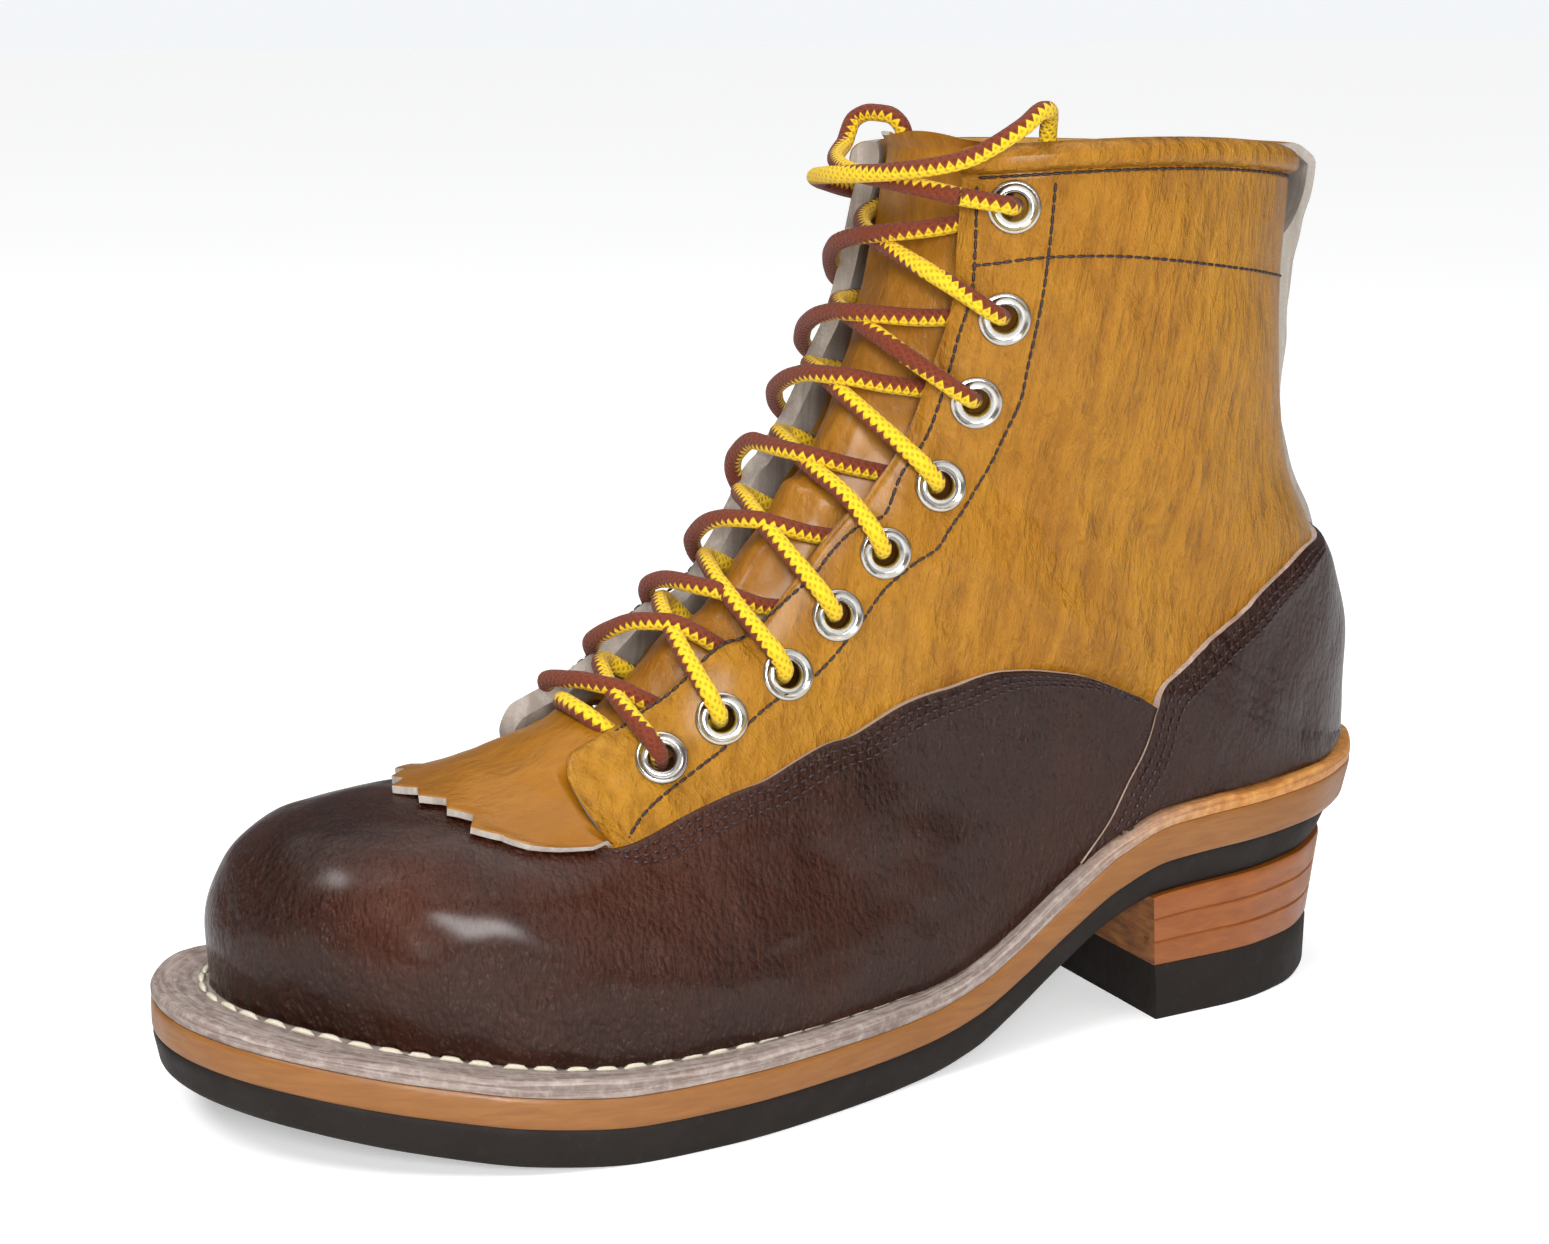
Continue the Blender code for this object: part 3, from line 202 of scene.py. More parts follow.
# A row's end: on the feather line up to edge 1, then up the back's profile
def edgePoint(edge, side):
    x, y = planPoint(feather, np.minimum(edge, 1.0), side)
    z = soleLevel(y, 3) + boot["seatGap"]
    climb = np.clip(edge - 1.0, 0.0, 1.0)
    backY = boot["soleLength"] / 2 - boot["collarBackSet"] * smooth(backProfile, 1, climb)
    heelX, heelY = planPoint(feather, 1.0, side)
    heelZ = soleLevel(heelY, 3) + boot["seatGap"]
    topZ = seatLevel + boot["upperHeight"]
    up = climb > 0
    shift = heelY - (boot["soleLength"] / 2 - boot["collarBackSet"] * backProfile[0, 1])
    return np.stack([np.where(up, heelX, x), np.where(up, backY + shift, y),
                     np.where(up, heelZ + (topZ - heelZ) * climb, z)], -1)


# Ridge of the last: its station and height by row, over the soles' middle line
def ridgePoint(row):
    y = boot["soleLength"] * (0.5 - smooth(lastRows, 2, row))
    follow = smooth(lastRows, 4, row)
    z = soleLevel(y, 3) * (1 - follow) + seatLevel * follow + boot["seatGap"]
    z = z + boot["upperHeight"] * smooth(lastRows, 3, row)
    return np.stack([boot["ballWidth"] * smooth(outline, 2, 0.5 - y / boot["soleLength"]), y, z], -1)


# A row is a Bezier curve: ridge, ridge + crown sideways, foot + flank along its lean, foot
def rowCurve(row, u, side):
    edge = smooth(lastRows, 1, row)
    foot, ridge = edgePoint(edge, side), ridgePoint(row)
    reach = np.clip(1.0 - edge, 1e-4, 0.02)
    along = edgePoint(np.clip(edge - reach, 0.0, 1.0), side) - edgePoint(np.clip(edge + reach, 0.0, 1.0), side)
    along /= np.maximum(np.linalg.norm(along, axis=-1, keepdims=True), 1e-9)
    sideways = np.array([side, 0.0, 0.0])
    along = np.where((edge >= 1.0)[..., None], sideways, along)
    outward = np.cross(along, [0.0, 0.0, 1.0]) * -side
    lean = np.radians(smooth(lastRows, 5, row))[..., None]
    upward = np.array([0.0, 0.0, 1.0]) * np.cos(lean) + along * np.sin(lean)
    crown, flank, swell = (boot["ballWidth"] * smooth(lastRows, k, row)[..., None] for k in (6, 7, 8))
    t = u[..., None]
    return ((1 - t) ** 3 * ridge + 3 * (1 - t) ** 2 * t * (ridge + sideways * crown)
            + 3 * (1 - t) * t**2 * (foot + upward * flank + outward * swell) + t**3 * foot)


# Point of the last: across runs from -1 on the inner side over 0 on the ridge to 1 on the outer side.
# Round the heel, where the rows turn from the feather line up the back, it is a weighted mean of rows nearby
def lastPoint(row, across):
    row, across = np.broadcast_arrays(np.asarray(row, float), np.asarray(across, float))
    result = rawPoint(row, across)
    heel = np.clip(1.4 - np.abs(row - 12.0), 0.0, 1.0)
    spread = 0.5 * heel * np.clip((1.0 - np.abs(across)) / 0.3, 0.0, 1.0) ** 0.7
    turning = spread > 0.01
    if turning.any():
        r, u, s = row[turning], across[turning], spread[turning]
        mean = 0.0
        for share, weight in ((-1.0, 1.0), (-0.6, 2.0), (-0.2, 3.0), (0.2, 3.0), (0.6, 2.0), (1.0, 1.0)):
            mean = mean + rawPoint(r + share * s, u) * weight / 12.0
        result[turning] = mean
    return result


# Point of a row's curve; towards the toe it is drawn to the feather line, so that the rows close there
def rawPoint(row, across):
    result = np.zeros(row.shape + (3,))
    for side in (-1.0, 1.0):
        here = across * side >= 0
        r, u = row[here], np.abs(across[here])
        if not len(r):
            continue
        curve = rowCurve(r, u, side)
        if side > 0:
            climb = np.clip((r - 12.0) / 5.0, 0.0, 1.0)
            curve[..., 2] += boot["collarOuterRise"] * climb**2 * (4 * u * (1 - u)) ** 2
        fade = np.clip(1 - r / 5.0, 0.0, 1.0)[..., None] ** 1.5
        toeEdge = edgePoint(lastRows[0, 1] * u, side)
        result[here] = curve + (toeEdge - rowCurve(0 * r, u, side)) * fade
    return result


# Extra lift in mm of the inner flap of the throat, which curls away from the tongue
flapCurl = {"reach": 0.24, "rows": np.array([
    # row lift
    [6.2, 1.0], [7.0, 4.5], [8.0, 6.0], [9.0, 6.0], [10.0, 7.0], [11.0, 9.5], [12.0, 10.0], [13.0, 7.5],
    [14.0, 4.0], [15.0, 2.5], [16.0, 1.5], [17.0, 0.0]])}


# Lift of the inner flap: its row's lift times (1 - share of the reach behind the throat's edge) ^ 2.2
def curlLift(row, across):
    reach = flapCurl["reach"]
    past = np.clip((np.abs(across) - smooth(throatEdge, 1, row)) / reach, -0.3, 1.0)
    near = np.clip(1 - past, 0.0, 1.3) ** 2.2
    return np.where(across < 0, smooth(flapCurl["rows"], 1, row) * mm * near, 0.0)


# The last's surface raised by lift along its normal, the cross product of its two directions
def onLast(row, across, lift, curl=0.0):
    row, across = np.broadcast_arrays(np.asarray(row, float), np.asarray(across, float))
    limit = 1.0 - 0.06 * np.clip(2.0 - row, 0.0, 1.0)
    nearRow, near = np.maximum(row, 0.3), np.clip(across, -limit, limit)
    r0, r1 = np.clip(nearRow - 0.2, 0, 17), np.clip(nearRow + 0.2, 0, 17)
    u0, u1 = np.clip(near - 0.02, -1, 1), np.clip(near + 0.02, -1, 1)
    sideways = lastPoint(nearRow, u1) - lastPoint(nearRow, u0)
    normal = np.cross(sideways, lastPoint(r1, near) - lastPoint(r0, near))
    normal[..., 2] = np.maximum(normal[..., 2], 0.0)
    normal /= np.maximum(np.linalg.norm(normal, axis=-1, keepdims=True), 1e-12)
    lift = np.broadcast_to(np.asarray(lift, float), row.shape)
    if np.any(curl):
        lift = lift + curl * curlLift(row, across)
    raised = lastPoint(row, across) + normal * lift[..., None]
    raised[..., 2] = np.maximum(raised[..., 2], soleLevel(raised[..., 1], 3) + 0.2 * mm)
    return raised, normal


# Share across of the throat's edge
def throat(row):
    return smooth(throatEdge, 1, row)


# Share across at a distance behind the throat's edge, measured along the row
def behindThroat(row, distance):
    share = throat(row)
    nearby = lastPoint(row, share + 0.02) - lastPoint(row, share)
    return share + distance * 0.02 / np.linalg.norm(nearby, axis=-1)


# Smooth step from 0 to 1, level at both ends
def ease(share):
    return share * share * (3 - 2 * share)


# Points or directions of a list, between its known places, each axis on its own
def sampled(at, known, listed):
    return np.stack([np.interp(at, known, listed[:, k]) for k in range(3)], -1)


# Numbers of a grid's points, row by row
def numbered(grid):
    return np.arange(grid.size).reshape(grid.shape)


# A grid's point numbers without gaps, its holes (-1) left as they are
def closeUp(index):
    used = index >= 0
    index[used] = np.arange(used.sum())
    return index


# Smooth noise from -1 to 1 over points: a sum of sines with seeded directions, 1 / size apart
def softNoise(points, size, seed, waves=14):
    rng = np.random.default_rng(seed)
    direction = unit(rng.normal(size=(waves, 3)))
    rate = rng.uniform(0.6, 1.6, waves) * 2 * math.pi / size
    phase = rng.uniform(0, 2 * math.pi, waves)
    flat = points.reshape(-1, 3)
    total = np.sin(flat @ (direction * rate[:, None]).T + phase).sum(1) / math.sqrt(waves)
    return total.reshape(points.shape[:-1])


# New object in the scene
def addObject(name, data):
    made = bpy.data.objects.new(name, data)
    bpy.context.scene.collection.objects.link(made)
    return made


# Piece of points and quads, turned outwards by its volume, with materials, UVs and sharp edges from an angle
def makePiece(name, points, quads, materials, faceMaterial=None, uv=None, sharp=38.0):
    points = points.reshape(-1, 3)
    a, b, c, d = (points[quads[:, k]] for k in range(4))
    volume = (a * (np.cross(b, c) + np.cross(c, d))).sum()
    if volume < 0:
        quads = quads[:, ::-1]
    mesh = bpy.data.meshes.new(name)
    mesh.from_pydata(points.tolist(), [], quads.tolist())
    if uv is not None:
        layer = mesh.uv_layers.new(name="UVMap")
        corner = np.zeros(len(mesh.loops), np.int32)
        mesh.loops.foreach_get("vertex_index", corner)
        layer.data.foreach_set("uv", uv.reshape(-1, 2)[corner].astype(np.float32).ravel())
    for material in materials:
        mesh.materials.append(material)
    if faceMaterial is not None:
        mesh.polygons.foreach_set("material_index", faceMaterial.astype(np.int32))
    mesh.polygons.foreach_set("use_smooth", np.ones(len(mesh.polygons), bool))
    mesh.validate()
    mesh.set_sharp_from_angle(angle=math.radians(sharp))
    mesh.update()
    piece = addObject(name, mesh)
    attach(piece, "root")
    return piece


# Faces of a grid of point numbers, without column skip, holes (-1) and collapsed faces
def gridQuads(index, skip=None):
    quads = np.stack([index[:-1, :-1], index[:-1, 1:], index[1:, 1:], index[1:, :-1]], -1)
    if skip is not None:
        quads = np.delete(quads, skip, axis=1)
    quads = quads.reshape(-1, 4)
    ordered = np.sort(quads, -1)
    return quads[(ordered[:, 0] >= 0) & (np.diff(ordered, axis=-1).min(-1) > 0)]


# A solid between two grids of points; edges used by one quad alone get a wall of rim material
def leatherSolid(name, outer, inner, index, materials, innerMaterial=0, skip=None, uv=None, sharp=38.0):
    count = int(index.max()) + 1
    used = index >= 0
    points, coords = np.zeros((2 * count, 3)), np.zeros((2 * count, 2))
    points[index[used]], points[count + index[used]] = outer[used], inner[used]
    if uv is not None:
        coords[index[used]], coords[count + index[used]] = uv[used], uv[used]
    quads = gridQuads(index, skip)
    a, b = quads.ravel(), np.roll(quads, -1, axis=1).ravel()
    key = np.minimum(a, b).astype(np.int64) * (count + 1) + np.maximum(a, b)
    key, first, times = np.unique(key, return_index=True, return_counts=True)
    rim = first[times == 1]
    wall = np.stack([b[rim], a[rim], count + a[rim], count + b[rim]], -1)
    faces = np.concatenate([quads, count + quads[:, ::-1], wall])
    kinds = np.repeat([0, innerMaterial, 1], [len(quads), len(quads), len(wall)])
    live = np.unique(faces)
    place = np.full(2 * count, -1)
    place[live] = np.arange(len(live))
    coords = None if uv is None else coords[live]
    return makePiece(name, points[live], place[faces], materials, kinds, coords, sharp)


# Curve through points: each axis a cubic over walked length, at even steps
def evenCurve(points, step):
    walked = walkedAlong(points)
    table = np.concatenate([walked[:, None], points], axis=1)
    at = np.linspace(0.0, walked[-1], int(walked[-1] / step) + 1)
    return np.stack([smooth(table, axis, at) for axis in (1, 2, 3)], -1)


# Tube: centre + radius * (cos a * side + sin a * other), side carried along the curve without turning, or
# drawn towards the cross product of tangent and facing
def tubeRings(path, radius, around, facing=None):
    tangent = unit(np.gradient(path, axis=0))
    side = np.zeros_like(path)
    start = np.cross(tangent[0], [0.31, 0.2, 0.93])
    side[0] = start / np.linalg.norm(start)
    for i in range(1, len(path)):
        carried = side[i - 1] - tangent[i] * (side[i - 1] @ tangent[i])
        if facing is not None:
            carried = carried + 0.16 * np.cross(tangent[i], facing)
        side[i] = carried / np.linalg.norm(carried)
    other = np.cross(tangent, side)
    turn = np.linspace(0, 2 * math.pi, around, endpoint=False)[None, :, None]
    radius = np.broadcast_to(np.asarray(radius, float), (len(path),))[:, None, None]
    return path[:, None] + (side[:, None] * np.cos(turn) + other[:, None] * np.sin(turn)) * radius


# Faces between stacked closed rings of count points each
def stackQuads(levels, count):
    low, n = np.arange(levels - 1)[:, None] * count, np.arange(count)[None, :]
    high, following = low + count, (n + 1) % count
    return np.stack([low + n, low + following, high + following, high + n], -1).reshape(-1, 4)


# Faces of many closed tubes, each with rings along and points around, its ends filled with quads
def tubeQuads(copies, rings, around):
    body = stackQuads(rings, around)
    half = np.arange(around // 2 - 1)
    cap = np.stack([half, half + 1, around - 2 - half, around - 1 - half], -1)
    block = np.concatenate([body, cap[:, ::-1], (rings - 1) * around + cap])
    return (np.arange(copies)[:, None, None] * rings * around + block[None]).reshape(-1, 4)


# Faces of many closed rings, each a closed profile of count points turned through steps
def ringQuads(copies, count, steps):
    block = stackQuads(count + 1, steps) % (count * steps)
    return (np.arange(copies)[:, None, None] * count * steps + block[None]).reshape(-1, 4)


# Stitches: each a small bent capsule between two needle holes on the surface, sunk at its ends
def stitchRow(points, normals, pitch, share, width, seed=1):
    walked = walkedAlong(points)
    count = max(int(walked[-1] / pitch), 1)
    rng = np.random.default_rng(seed)
    middle = (np.arange(count) + 0.5 + rng.normal(0, 0.035, count)) * walked[-1] / count
    t = np.linspace(-1.0, 1.0, 6)
    at = middle[:, None] + t[None, :] * share * pitch / 2
    centre = sampled(at, walked, points)
    normal = unit(sampled(at, walked, normals))
    along = unit(centre[:, -1:] - centre[:, :1])
    side = np.cross(normal, along)
    thick = np.sqrt(np.clip(1 - np.abs(t) ** 3.0, 0.05, 1))[None, :, None, None] * width
    high = (1 - t**4)[None, :, None, None] * width * rng.uniform(0.25, 0.45, count)[:, None, None, None]
    turn = np.linspace(0, 2 * math.pi, 6, endpoint=False)[None, None, :, None]
    return (centre[:, :, None] + normal[:, :, None] * (high - 0.2 * width + np.sin(turn) * thick * 0.42)
            + side[:, :, None] * np.cos(turn) * thick * 0.5)


# One piece of all stitches in a list of rows
def addStitches(name, rowsOfStitches, material):
    points = np.concatenate([stitches.reshape(-1, 6, 6, 3) for stitches in rowsOfStitches])
    quads = tubeQuads(len(points), 6, 6)
    return makePiece(name, points, quads, [material], sharp=80.0)


print("shapes ready")


# Node group with inputs (label, kind, value) and outputs (label, kind)
def newGroup(name, inputs, outputs):
    group = bpy.data.node_groups.new(name, "ShaderNodeTree")
    for label, kind, value in inputs:
        socket = group.interface.new_socket(label, in_out="INPUT", socket_type="NodeSocket" + kind)
        if value is not None:
            socket.default_value = value
    for label, kind in outputs:
        group.interface.new_socket(label, in_out="OUTPUT", socket_type="NodeSocket" + kind)
    return group, group.nodes.new("NodeGroupInput"), group.nodes.new("NodeGroupOutput")


# The functions called Node, and mixColour, each add one node to a tree and give its output
def mathNode(tree, operation, a, b=None, clamp=False):
    node = tree.nodes.new("ShaderNodeMath")
    node.operation = operation
    node.use_clamp = clamp
    for k, value in enumerate((a, b)):
        if value is None:
            continue
        if hasattr(value, "is_linked"):
            tree.links.new(value, node.inputs[k])
        else:
            node.inputs[k].default_value = value
    return node.outputs[0]


def rangeNode(tree, value, low, high, toLow=0.0, toHigh=1.0, smoothStep=True):
    node = tree.nodes.new("ShaderNodeMapRange")
    node.interpolation_type = "SMOOTHSTEP" if smoothStep else "LINEAR"
    tree.links.new(value, node.inputs[0])
    for k, number in enumerate((low, high, toLow, toHigh)):
        node.inputs[k + 1].default_value = number
    return node.outputs[0]


def noiseNode(tree, vector, scale, detail=3.0, roughness=0.55, distortion=0.0):
    node = tree.nodes.new("ShaderNodeTexNoise")
    tree.links.new(vector, node.inputs["Vector"])
    node.inputs["Scale"].default_value = scale
    node.inputs["Detail"].default_value = detail
    node.inputs["Roughness"].default_value = roughness
    node.inputs["Distortion"].default_value = distortion
    return node.outputs["Fac"]


def voronoiNode(tree, vector, scale, feature="F1", randomness=1.0):
    node = tree.nodes.new("ShaderNodeTexVoronoi")
    node.feature = feature
    tree.links.new(vector, node.inputs["Vector"])
    node.inputs["Scale"].default_value = scale
    node.inputs["Randomness"].default_value = randomness
    return node.outputs["Distance"]


def mappingNode(tree, vector, rotation, scale):
    node = tree.nodes.new("ShaderNodeMapping")
    tree.links.new(vector, node.inputs["Vector"])
    node.inputs["Rotation"].default_value = [math.radians(angle) for angle in rotation]
    node.inputs["Scale"].default_value = scale
    return node.outputs[0]


def mixColour(tree, mask, a, b, blend="MIX"):
    node = tree.nodes.new("ShaderNodeMix")
    node.data_type = "RGBA"
    node.blend_type = blend
    for socket, value in ((node.inputs[0], mask), (node.inputs[6], a), (node.inputs[7], b)):
        if hasattr(value, "is_linked"):
            tree.links.new(value, socket)
        elif isinstance(value, (int, float)):
            socket.default_value = value
        else:
            socket.default_value = (*value, 1.0)
    return node.outputs[2]


def bumpNode(tree, height, distance, strength=1.0, normal=None):
    node = tree.nodes.new("ShaderNodeBump")
    node.inputs["Strength"].default_value = strength
    node.inputs["Distance"].default_value = distance
    tree.links.new(height, node.inputs["Height"])
    if normal is not None:
        tree.links.new(normal, node.inputs["Normal"])
    return node.outputs[0]


# Sum of sockets, each times its weight
def weightedSum(tree, *parts):
    total = None
    for socket, weight in parts:
        term = mathNode(tree, "MULTIPLY", socket, weight)
        total = term if total is None else mathNode(tree, "ADD", total, term)
    return total


# Grain of leather. Creases: three stretched noises laid across each other, summed to one height.
# Lines: distances to the middles of cells stretched and bent by a noise, of two kinds, summed.
# Pebbles: small rounded cells. Folds: wide soft noise. Clouds: soft changes of tone
def buildGrainGroup():
    group, inside, outside = newGroup(
        "leatherGrain", [("Vector", "Vector", None), ("Pebble", "Float", 900.0), ("Crease", "Float", 110.0)],
        [("Pebbles", "Float"), ("Creases", "Float"), ("Lines", "Float"), ("Folds", "Float"), ("Clouds", "Float")])

    def scaled(socket):
        node = group.nodes.new("ShaderNodeVectorMath")
        node.operation = "SCALE"
        group.links.new(inside.outputs["Vector"], node.inputs[0])
        group.links.new(socket, node.inputs["Scale"])
        return node.outputs[0]

    small = scaled(inside.outputs["Crease"])
    strokes = []
    for turn, size, detail in (((0, 0, 0), (1.0, 1.0, 0.20), 5.0), ((40, 35, 25), (1.3, 0.3, 1.1), 4.0),
                               ((75, 10, 60), (0.35, 2.0, 1.6), 4.0)):
        strokes.append(noiseNode(group, mappingNode(group, small, turn, size), 1.0, detail, 0.66, 0.5))
    creases = weightedSum(group, (strokes[0], 0.45), (strokes[1], 0.35), (strokes[2], 0.20))
    group.links.new(rangeNode(group, creases, 0.36, 0.64, 0.0, 1.0, False), outside.inputs["Creases"])
    crumple = []
    for turn, size, bend in (((0, 0, 0), (0.50, 0.50, 0.28), 1.1), ((35, 60, 15), (1.15, 0.55, 0.9), 0.7)):
        bent = group.nodes.new("ShaderNodeVectorMath")
        bent.operation = "MULTIPLY_ADD"
        wave = group.nodes.new("ShaderNodeTexNoise")
        wave.inputs["Scale"].default_value = 0.45
        wave.inputs["Detail"].default_value = 3.0
        placed = mappingNode(group, small, turn, size)
        group.links.new(placed, wave.inputs["Vector"])
        group.links.new(wave.outputs["Color"], bent.inputs[0])
        bent.inputs[1].default_value = (bend, bend, bend)
        group.links.new(placed, bent.inputs[2])
        crumple.append(voronoiNode(group, bent.outputs[0], 1.0))
    group.links.new(weightedSum(group, (crumple[0], 0.6), (crumple[1], 0.4)), outside.inputs["Lines"])
    cells = group.nodes.new("ShaderNodeTexVoronoi")
    cells.feature = "SMOOTH_F1"
    cells.inputs["Scale"].default_value = 1.0
    cells.inputs["Smoothness"].default_value = 0.35
    group.links.new(scaled(inside.outputs["Pebble"]), cells.inputs["Vector"])
    group.links.new(mathNode(group, "SUBTRACT", 1.0, cells.outputs["Distance"]), outside.inputs["Pebbles"])
    group.links.new(noiseNode(group, small, 0.22, 4.0, 0.6, 0.8), outside.inputs["Folds"])
    group.links.new(noiseNode(group, inside.outputs["Vector"], 26.0, 4.0, 0.6), outside.inputs["Clouds"])
    return group


grainGroup = buildGrainGroup()


# Fibres of a cut or raw leather face: streaks across the second axis of the vector, and specks
def buildFibreGroup():
    group, inside, outside = newGroup(
        "rawFibres", [("Vector", "Vector", None), ("Streak", "Float", 60.0), ("Stretch", "Float", 14.0)],
        [("Streaks", "Float"), ("Specks", "Float")])
    combine = group.nodes.new("ShaderNodeCombineXYZ")
    split = group.nodes.new("ShaderNodeSeparateXYZ")
    group.links.new(inside.outputs["Vector"], split.inputs[0])
    group.links.new(mathNode(group, "MULTIPLY", split.outputs[0], inside.outputs["Streak"]), combine.inputs[0])
    across = mathNode(group, "MULTIPLY", split.outputs[1], inside.outputs["Streak"])
    group.links.new(mathNode(group, "MULTIPLY", across, inside.outputs["Stretch"]), combine.inputs[1])
    group.links.new(noiseNode(group, combine.outputs[0], 1.0, 5.0, 0.65, 0.6), outside.inputs["Streaks"])
    group.links.new(noiseNode(group, inside.outputs["Vector"], 1500.0, 3.0, 0.7), outside.inputs["Specks"])
    return group


fibreGroup = buildFibreGroup()


# Material with its fixed values on the shader's own sockets
def newMaterial(name, roughness=0.5, metallic=0.0, **sockets):
    material = bpy.data.materials.new(name)
    material.use_nodes = True
    tree = material.node_tree
    shader = tree.nodes["Principled BSDF"]
    shader.inputs["Roughness"].default_value = roughness
    shader.inputs["Metallic"].default_value = metallic
    for label, value in sockets.items():
        shader.inputs[label.replace("_", " ")].default_value = value
    coords = tree.nodes.new("ShaderNodeTexCoord")
    return material, tree, shader, coords


# Node group with its vector linked and its numbers set
def placeGroup(tree, group, vector, **values):
    node = tree.nodes.new("ShaderNodeGroup")
    node.node_tree = group
    tree.links.new(vector, node.inputs["Vector"])
    for label, value in values.items():
        node.inputs[label].default_value = value
    return node


# Normal of grained leather: creases and lines, then folds, then pebbles, each (depth in mm, strength)
def grainNormal(tree, grain, lines, creaseBump, foldBump, pebbleBump):
    relief = weightedSum(tree, (grain.outputs["Creases"], 0.6), (grain.outputs["Lines"], lines))
    normal = None
    for height, (depth, strength) in ((relief, creaseBump), (grain.outputs["Folds"], foldBump),
                                      (grain.outputs["Pebbles"], pebbleBump)):
        normal = bumpNode(tree, height, depth * mm, strength, normal)
    return normal


# Oiled tan leather: golden, a little darker in clouds; painted shade darkens its folds, creases and the pits of
# its lines, and a painted highlight makes the lines' raised ridges paler
def makeTan(name, light, middle, dark, depth=2.4, pebble=0.06, turn=(20, -12, 35), stretch=(1.0, 1.0, 0.45)):
    material, tree, shader, coords = newMaterial(
        name, 0.4, Coat_Weight=0.20, Coat_Roughness=0.2, IOR=1.34, Specular_Tint=(1.0, 0.86, 0.62, 1.0))
    vector = mappingNode(tree, coords.outputs["Object"], turn, stretch)
    grain = placeGroup(tree, grainGroup, vector, Pebble=1000.0, Crease=300.0)
    colour = mixColour(tree, rangeNode(tree, grain.outputs["Clouds"], 0.32, 0.66), middle, light)
    # Paler tint of the painted highlight on the lines' raised ridges
    ridgeHighlight = (light[0] * 1.15, light[1] * 1.15, light[2] * 1.3)
    # Painted shade: the dark tint in the low parts of folds, creases and lines
    for label, low, high, atLow, atHigh, tint in (
            ("Folds", 0.34, 0.56, 0.26, 0.0, dark), ("Creases", 0.15, 0.55, 0.30, 0.0, dark),
            ("Lines", 0.15, 0.42, 0.30, 0.0, dark), ("Lines", 0.5, 0.8, 0.0, 0.30, ridgeHighlight)):
        colour = mixColour(tree, rangeNode(tree, grain.outputs[label], low, high, atLow, atHigh), colour, tint)
    tree.links.new(colour, shader.inputs["Base Color"])
    tree.links.new(rangeNode(tree, grain.outputs["Folds"], 0.35, 0.65, 0.30, 0.45), shader.inputs["Roughness"])
    normal = grainNormal(tree, grain, 1.0, (depth, 0.9), (1.1, 0.6), (pebble, 0.8))
    tree.links.new(normal, shader.inputs["Normal"])
    return material


# Dark brown pull-up leather: pebbled, glossy, with painted warm highlights, standing in for a warm lamp's
# reflection, at given places (centre, radius, strength)
def makeBrown(name, base, warm, paintedHighlights=()):
    material, tree, shader, coords = newMaterial(
        name, 0.34, Coat_Weight=0.42, Coat_Roughness=0.24, IOR=1.30, Specular_Tint=(1.0, 0.72, 0.58, 1.0))
    vector = mappingNode(tree, coords.outputs["Object"], (15, 20, 10), (1.0, 1.0, 0.6))
    grain = placeGroup(tree, grainGroup, vector, Pebble=820.0, Crease=230.0)
    colour = mixColour(tree, rangeNode(tree, grain.outputs["Clouds"], 0.35, 0.75, 0.0, 0.55), base, warm)
    # Painted highlight: a lighter warm colour at each centre, fading to none at its radius
    for centre, radius, strength in paintedHighlights:
        away = tree.nodes.new("ShaderNodeVectorMath")
        away.operation = "DISTANCE"
        tree.links.new(coords.outputs["Object"], away.inputs[0])
        away.inputs[1].default_value = centre
        glow = rangeNode(tree, away.outputs["Value"], 0.0, radius, strength, 0.0)
        colour = mixColour(tree, glow, colour, (warm[0] * 4.0, warm[1] * 3.6, warm[2] * 2.5))
    tree.links.new(colour, shader.inputs["Base Color"])
    tree.links.new(rangeNode(tree, grain.outputs["Folds"], 0.35, 0.65, 0.28, 0.42), shader.inputs["Roughness"])
    normal = grainNormal(tree, grain, 0.9, (1.6, 1.0), (0.8, 0.5), (0.60, 1.0))
    tree.links.new(normal, shader.inputs["Normal"])
    return material


# Raw flesh side or cut edge: matt, fibrous
def makeRaw(name, light, dark, streak):
    material, tree, shader, coords = newMaterial(name, 0.92, Sheen_Weight=0.25, Sheen_Roughness=0.5)
    fibres = placeGroup(tree, fibreGroup, coords.outputs["Object"], Streak=streak, Stretch=1.0)
    colour = mixColour(tree, rangeNode(tree, fibres.outputs["Streaks"], 0.3, 0.7), dark, light)
    colour = mixColour(tree, rangeNode(tree, fibres.outputs["Specks"], 0.35, 0.7, 0.0, 0.45), colour, dark)
    tree.links.new(colour, shader.inputs["Base Color"])
    first = bumpNode(tree, fibres.outputs["Streaks"], 0.35 * mm, 0.9)
    tree.links.new(bumpNode(tree, fibres.outputs["Specks"], 0.2 * mm, 0.7, first), shader.inputs["Normal"])
    return material


tan = makeTan("tan upper leather", (0.41, 0.184, 0.0125), (0.34, 0.136, 0.0065), (0.15, 0.044, 0.0022))
tanFlap = makeTan("tan lining side", (0.46, 0.24, 0.05), (0.38, 0.18, 0.03), (0.22, 0.09, 0.012), 0.3, 0.05)
tongueTan = makeTan("tongue leather", (0.37, 0.155, 0.014), (0.29, 0.11, 0.008), (0.20, 0.07, 0.005), 0.7, 0.06,
                    (70, 10, 0), (1, 1, 0.5))
kiltieTan = makeTan("kiltie leather", (0.34, 0.132, 0.005), (0.26, 0.094, 0.003), (0.22, 0.08, 0.005), 0.6, 0.06,
                    (0, 0, 60), (1, 0.4, 1))
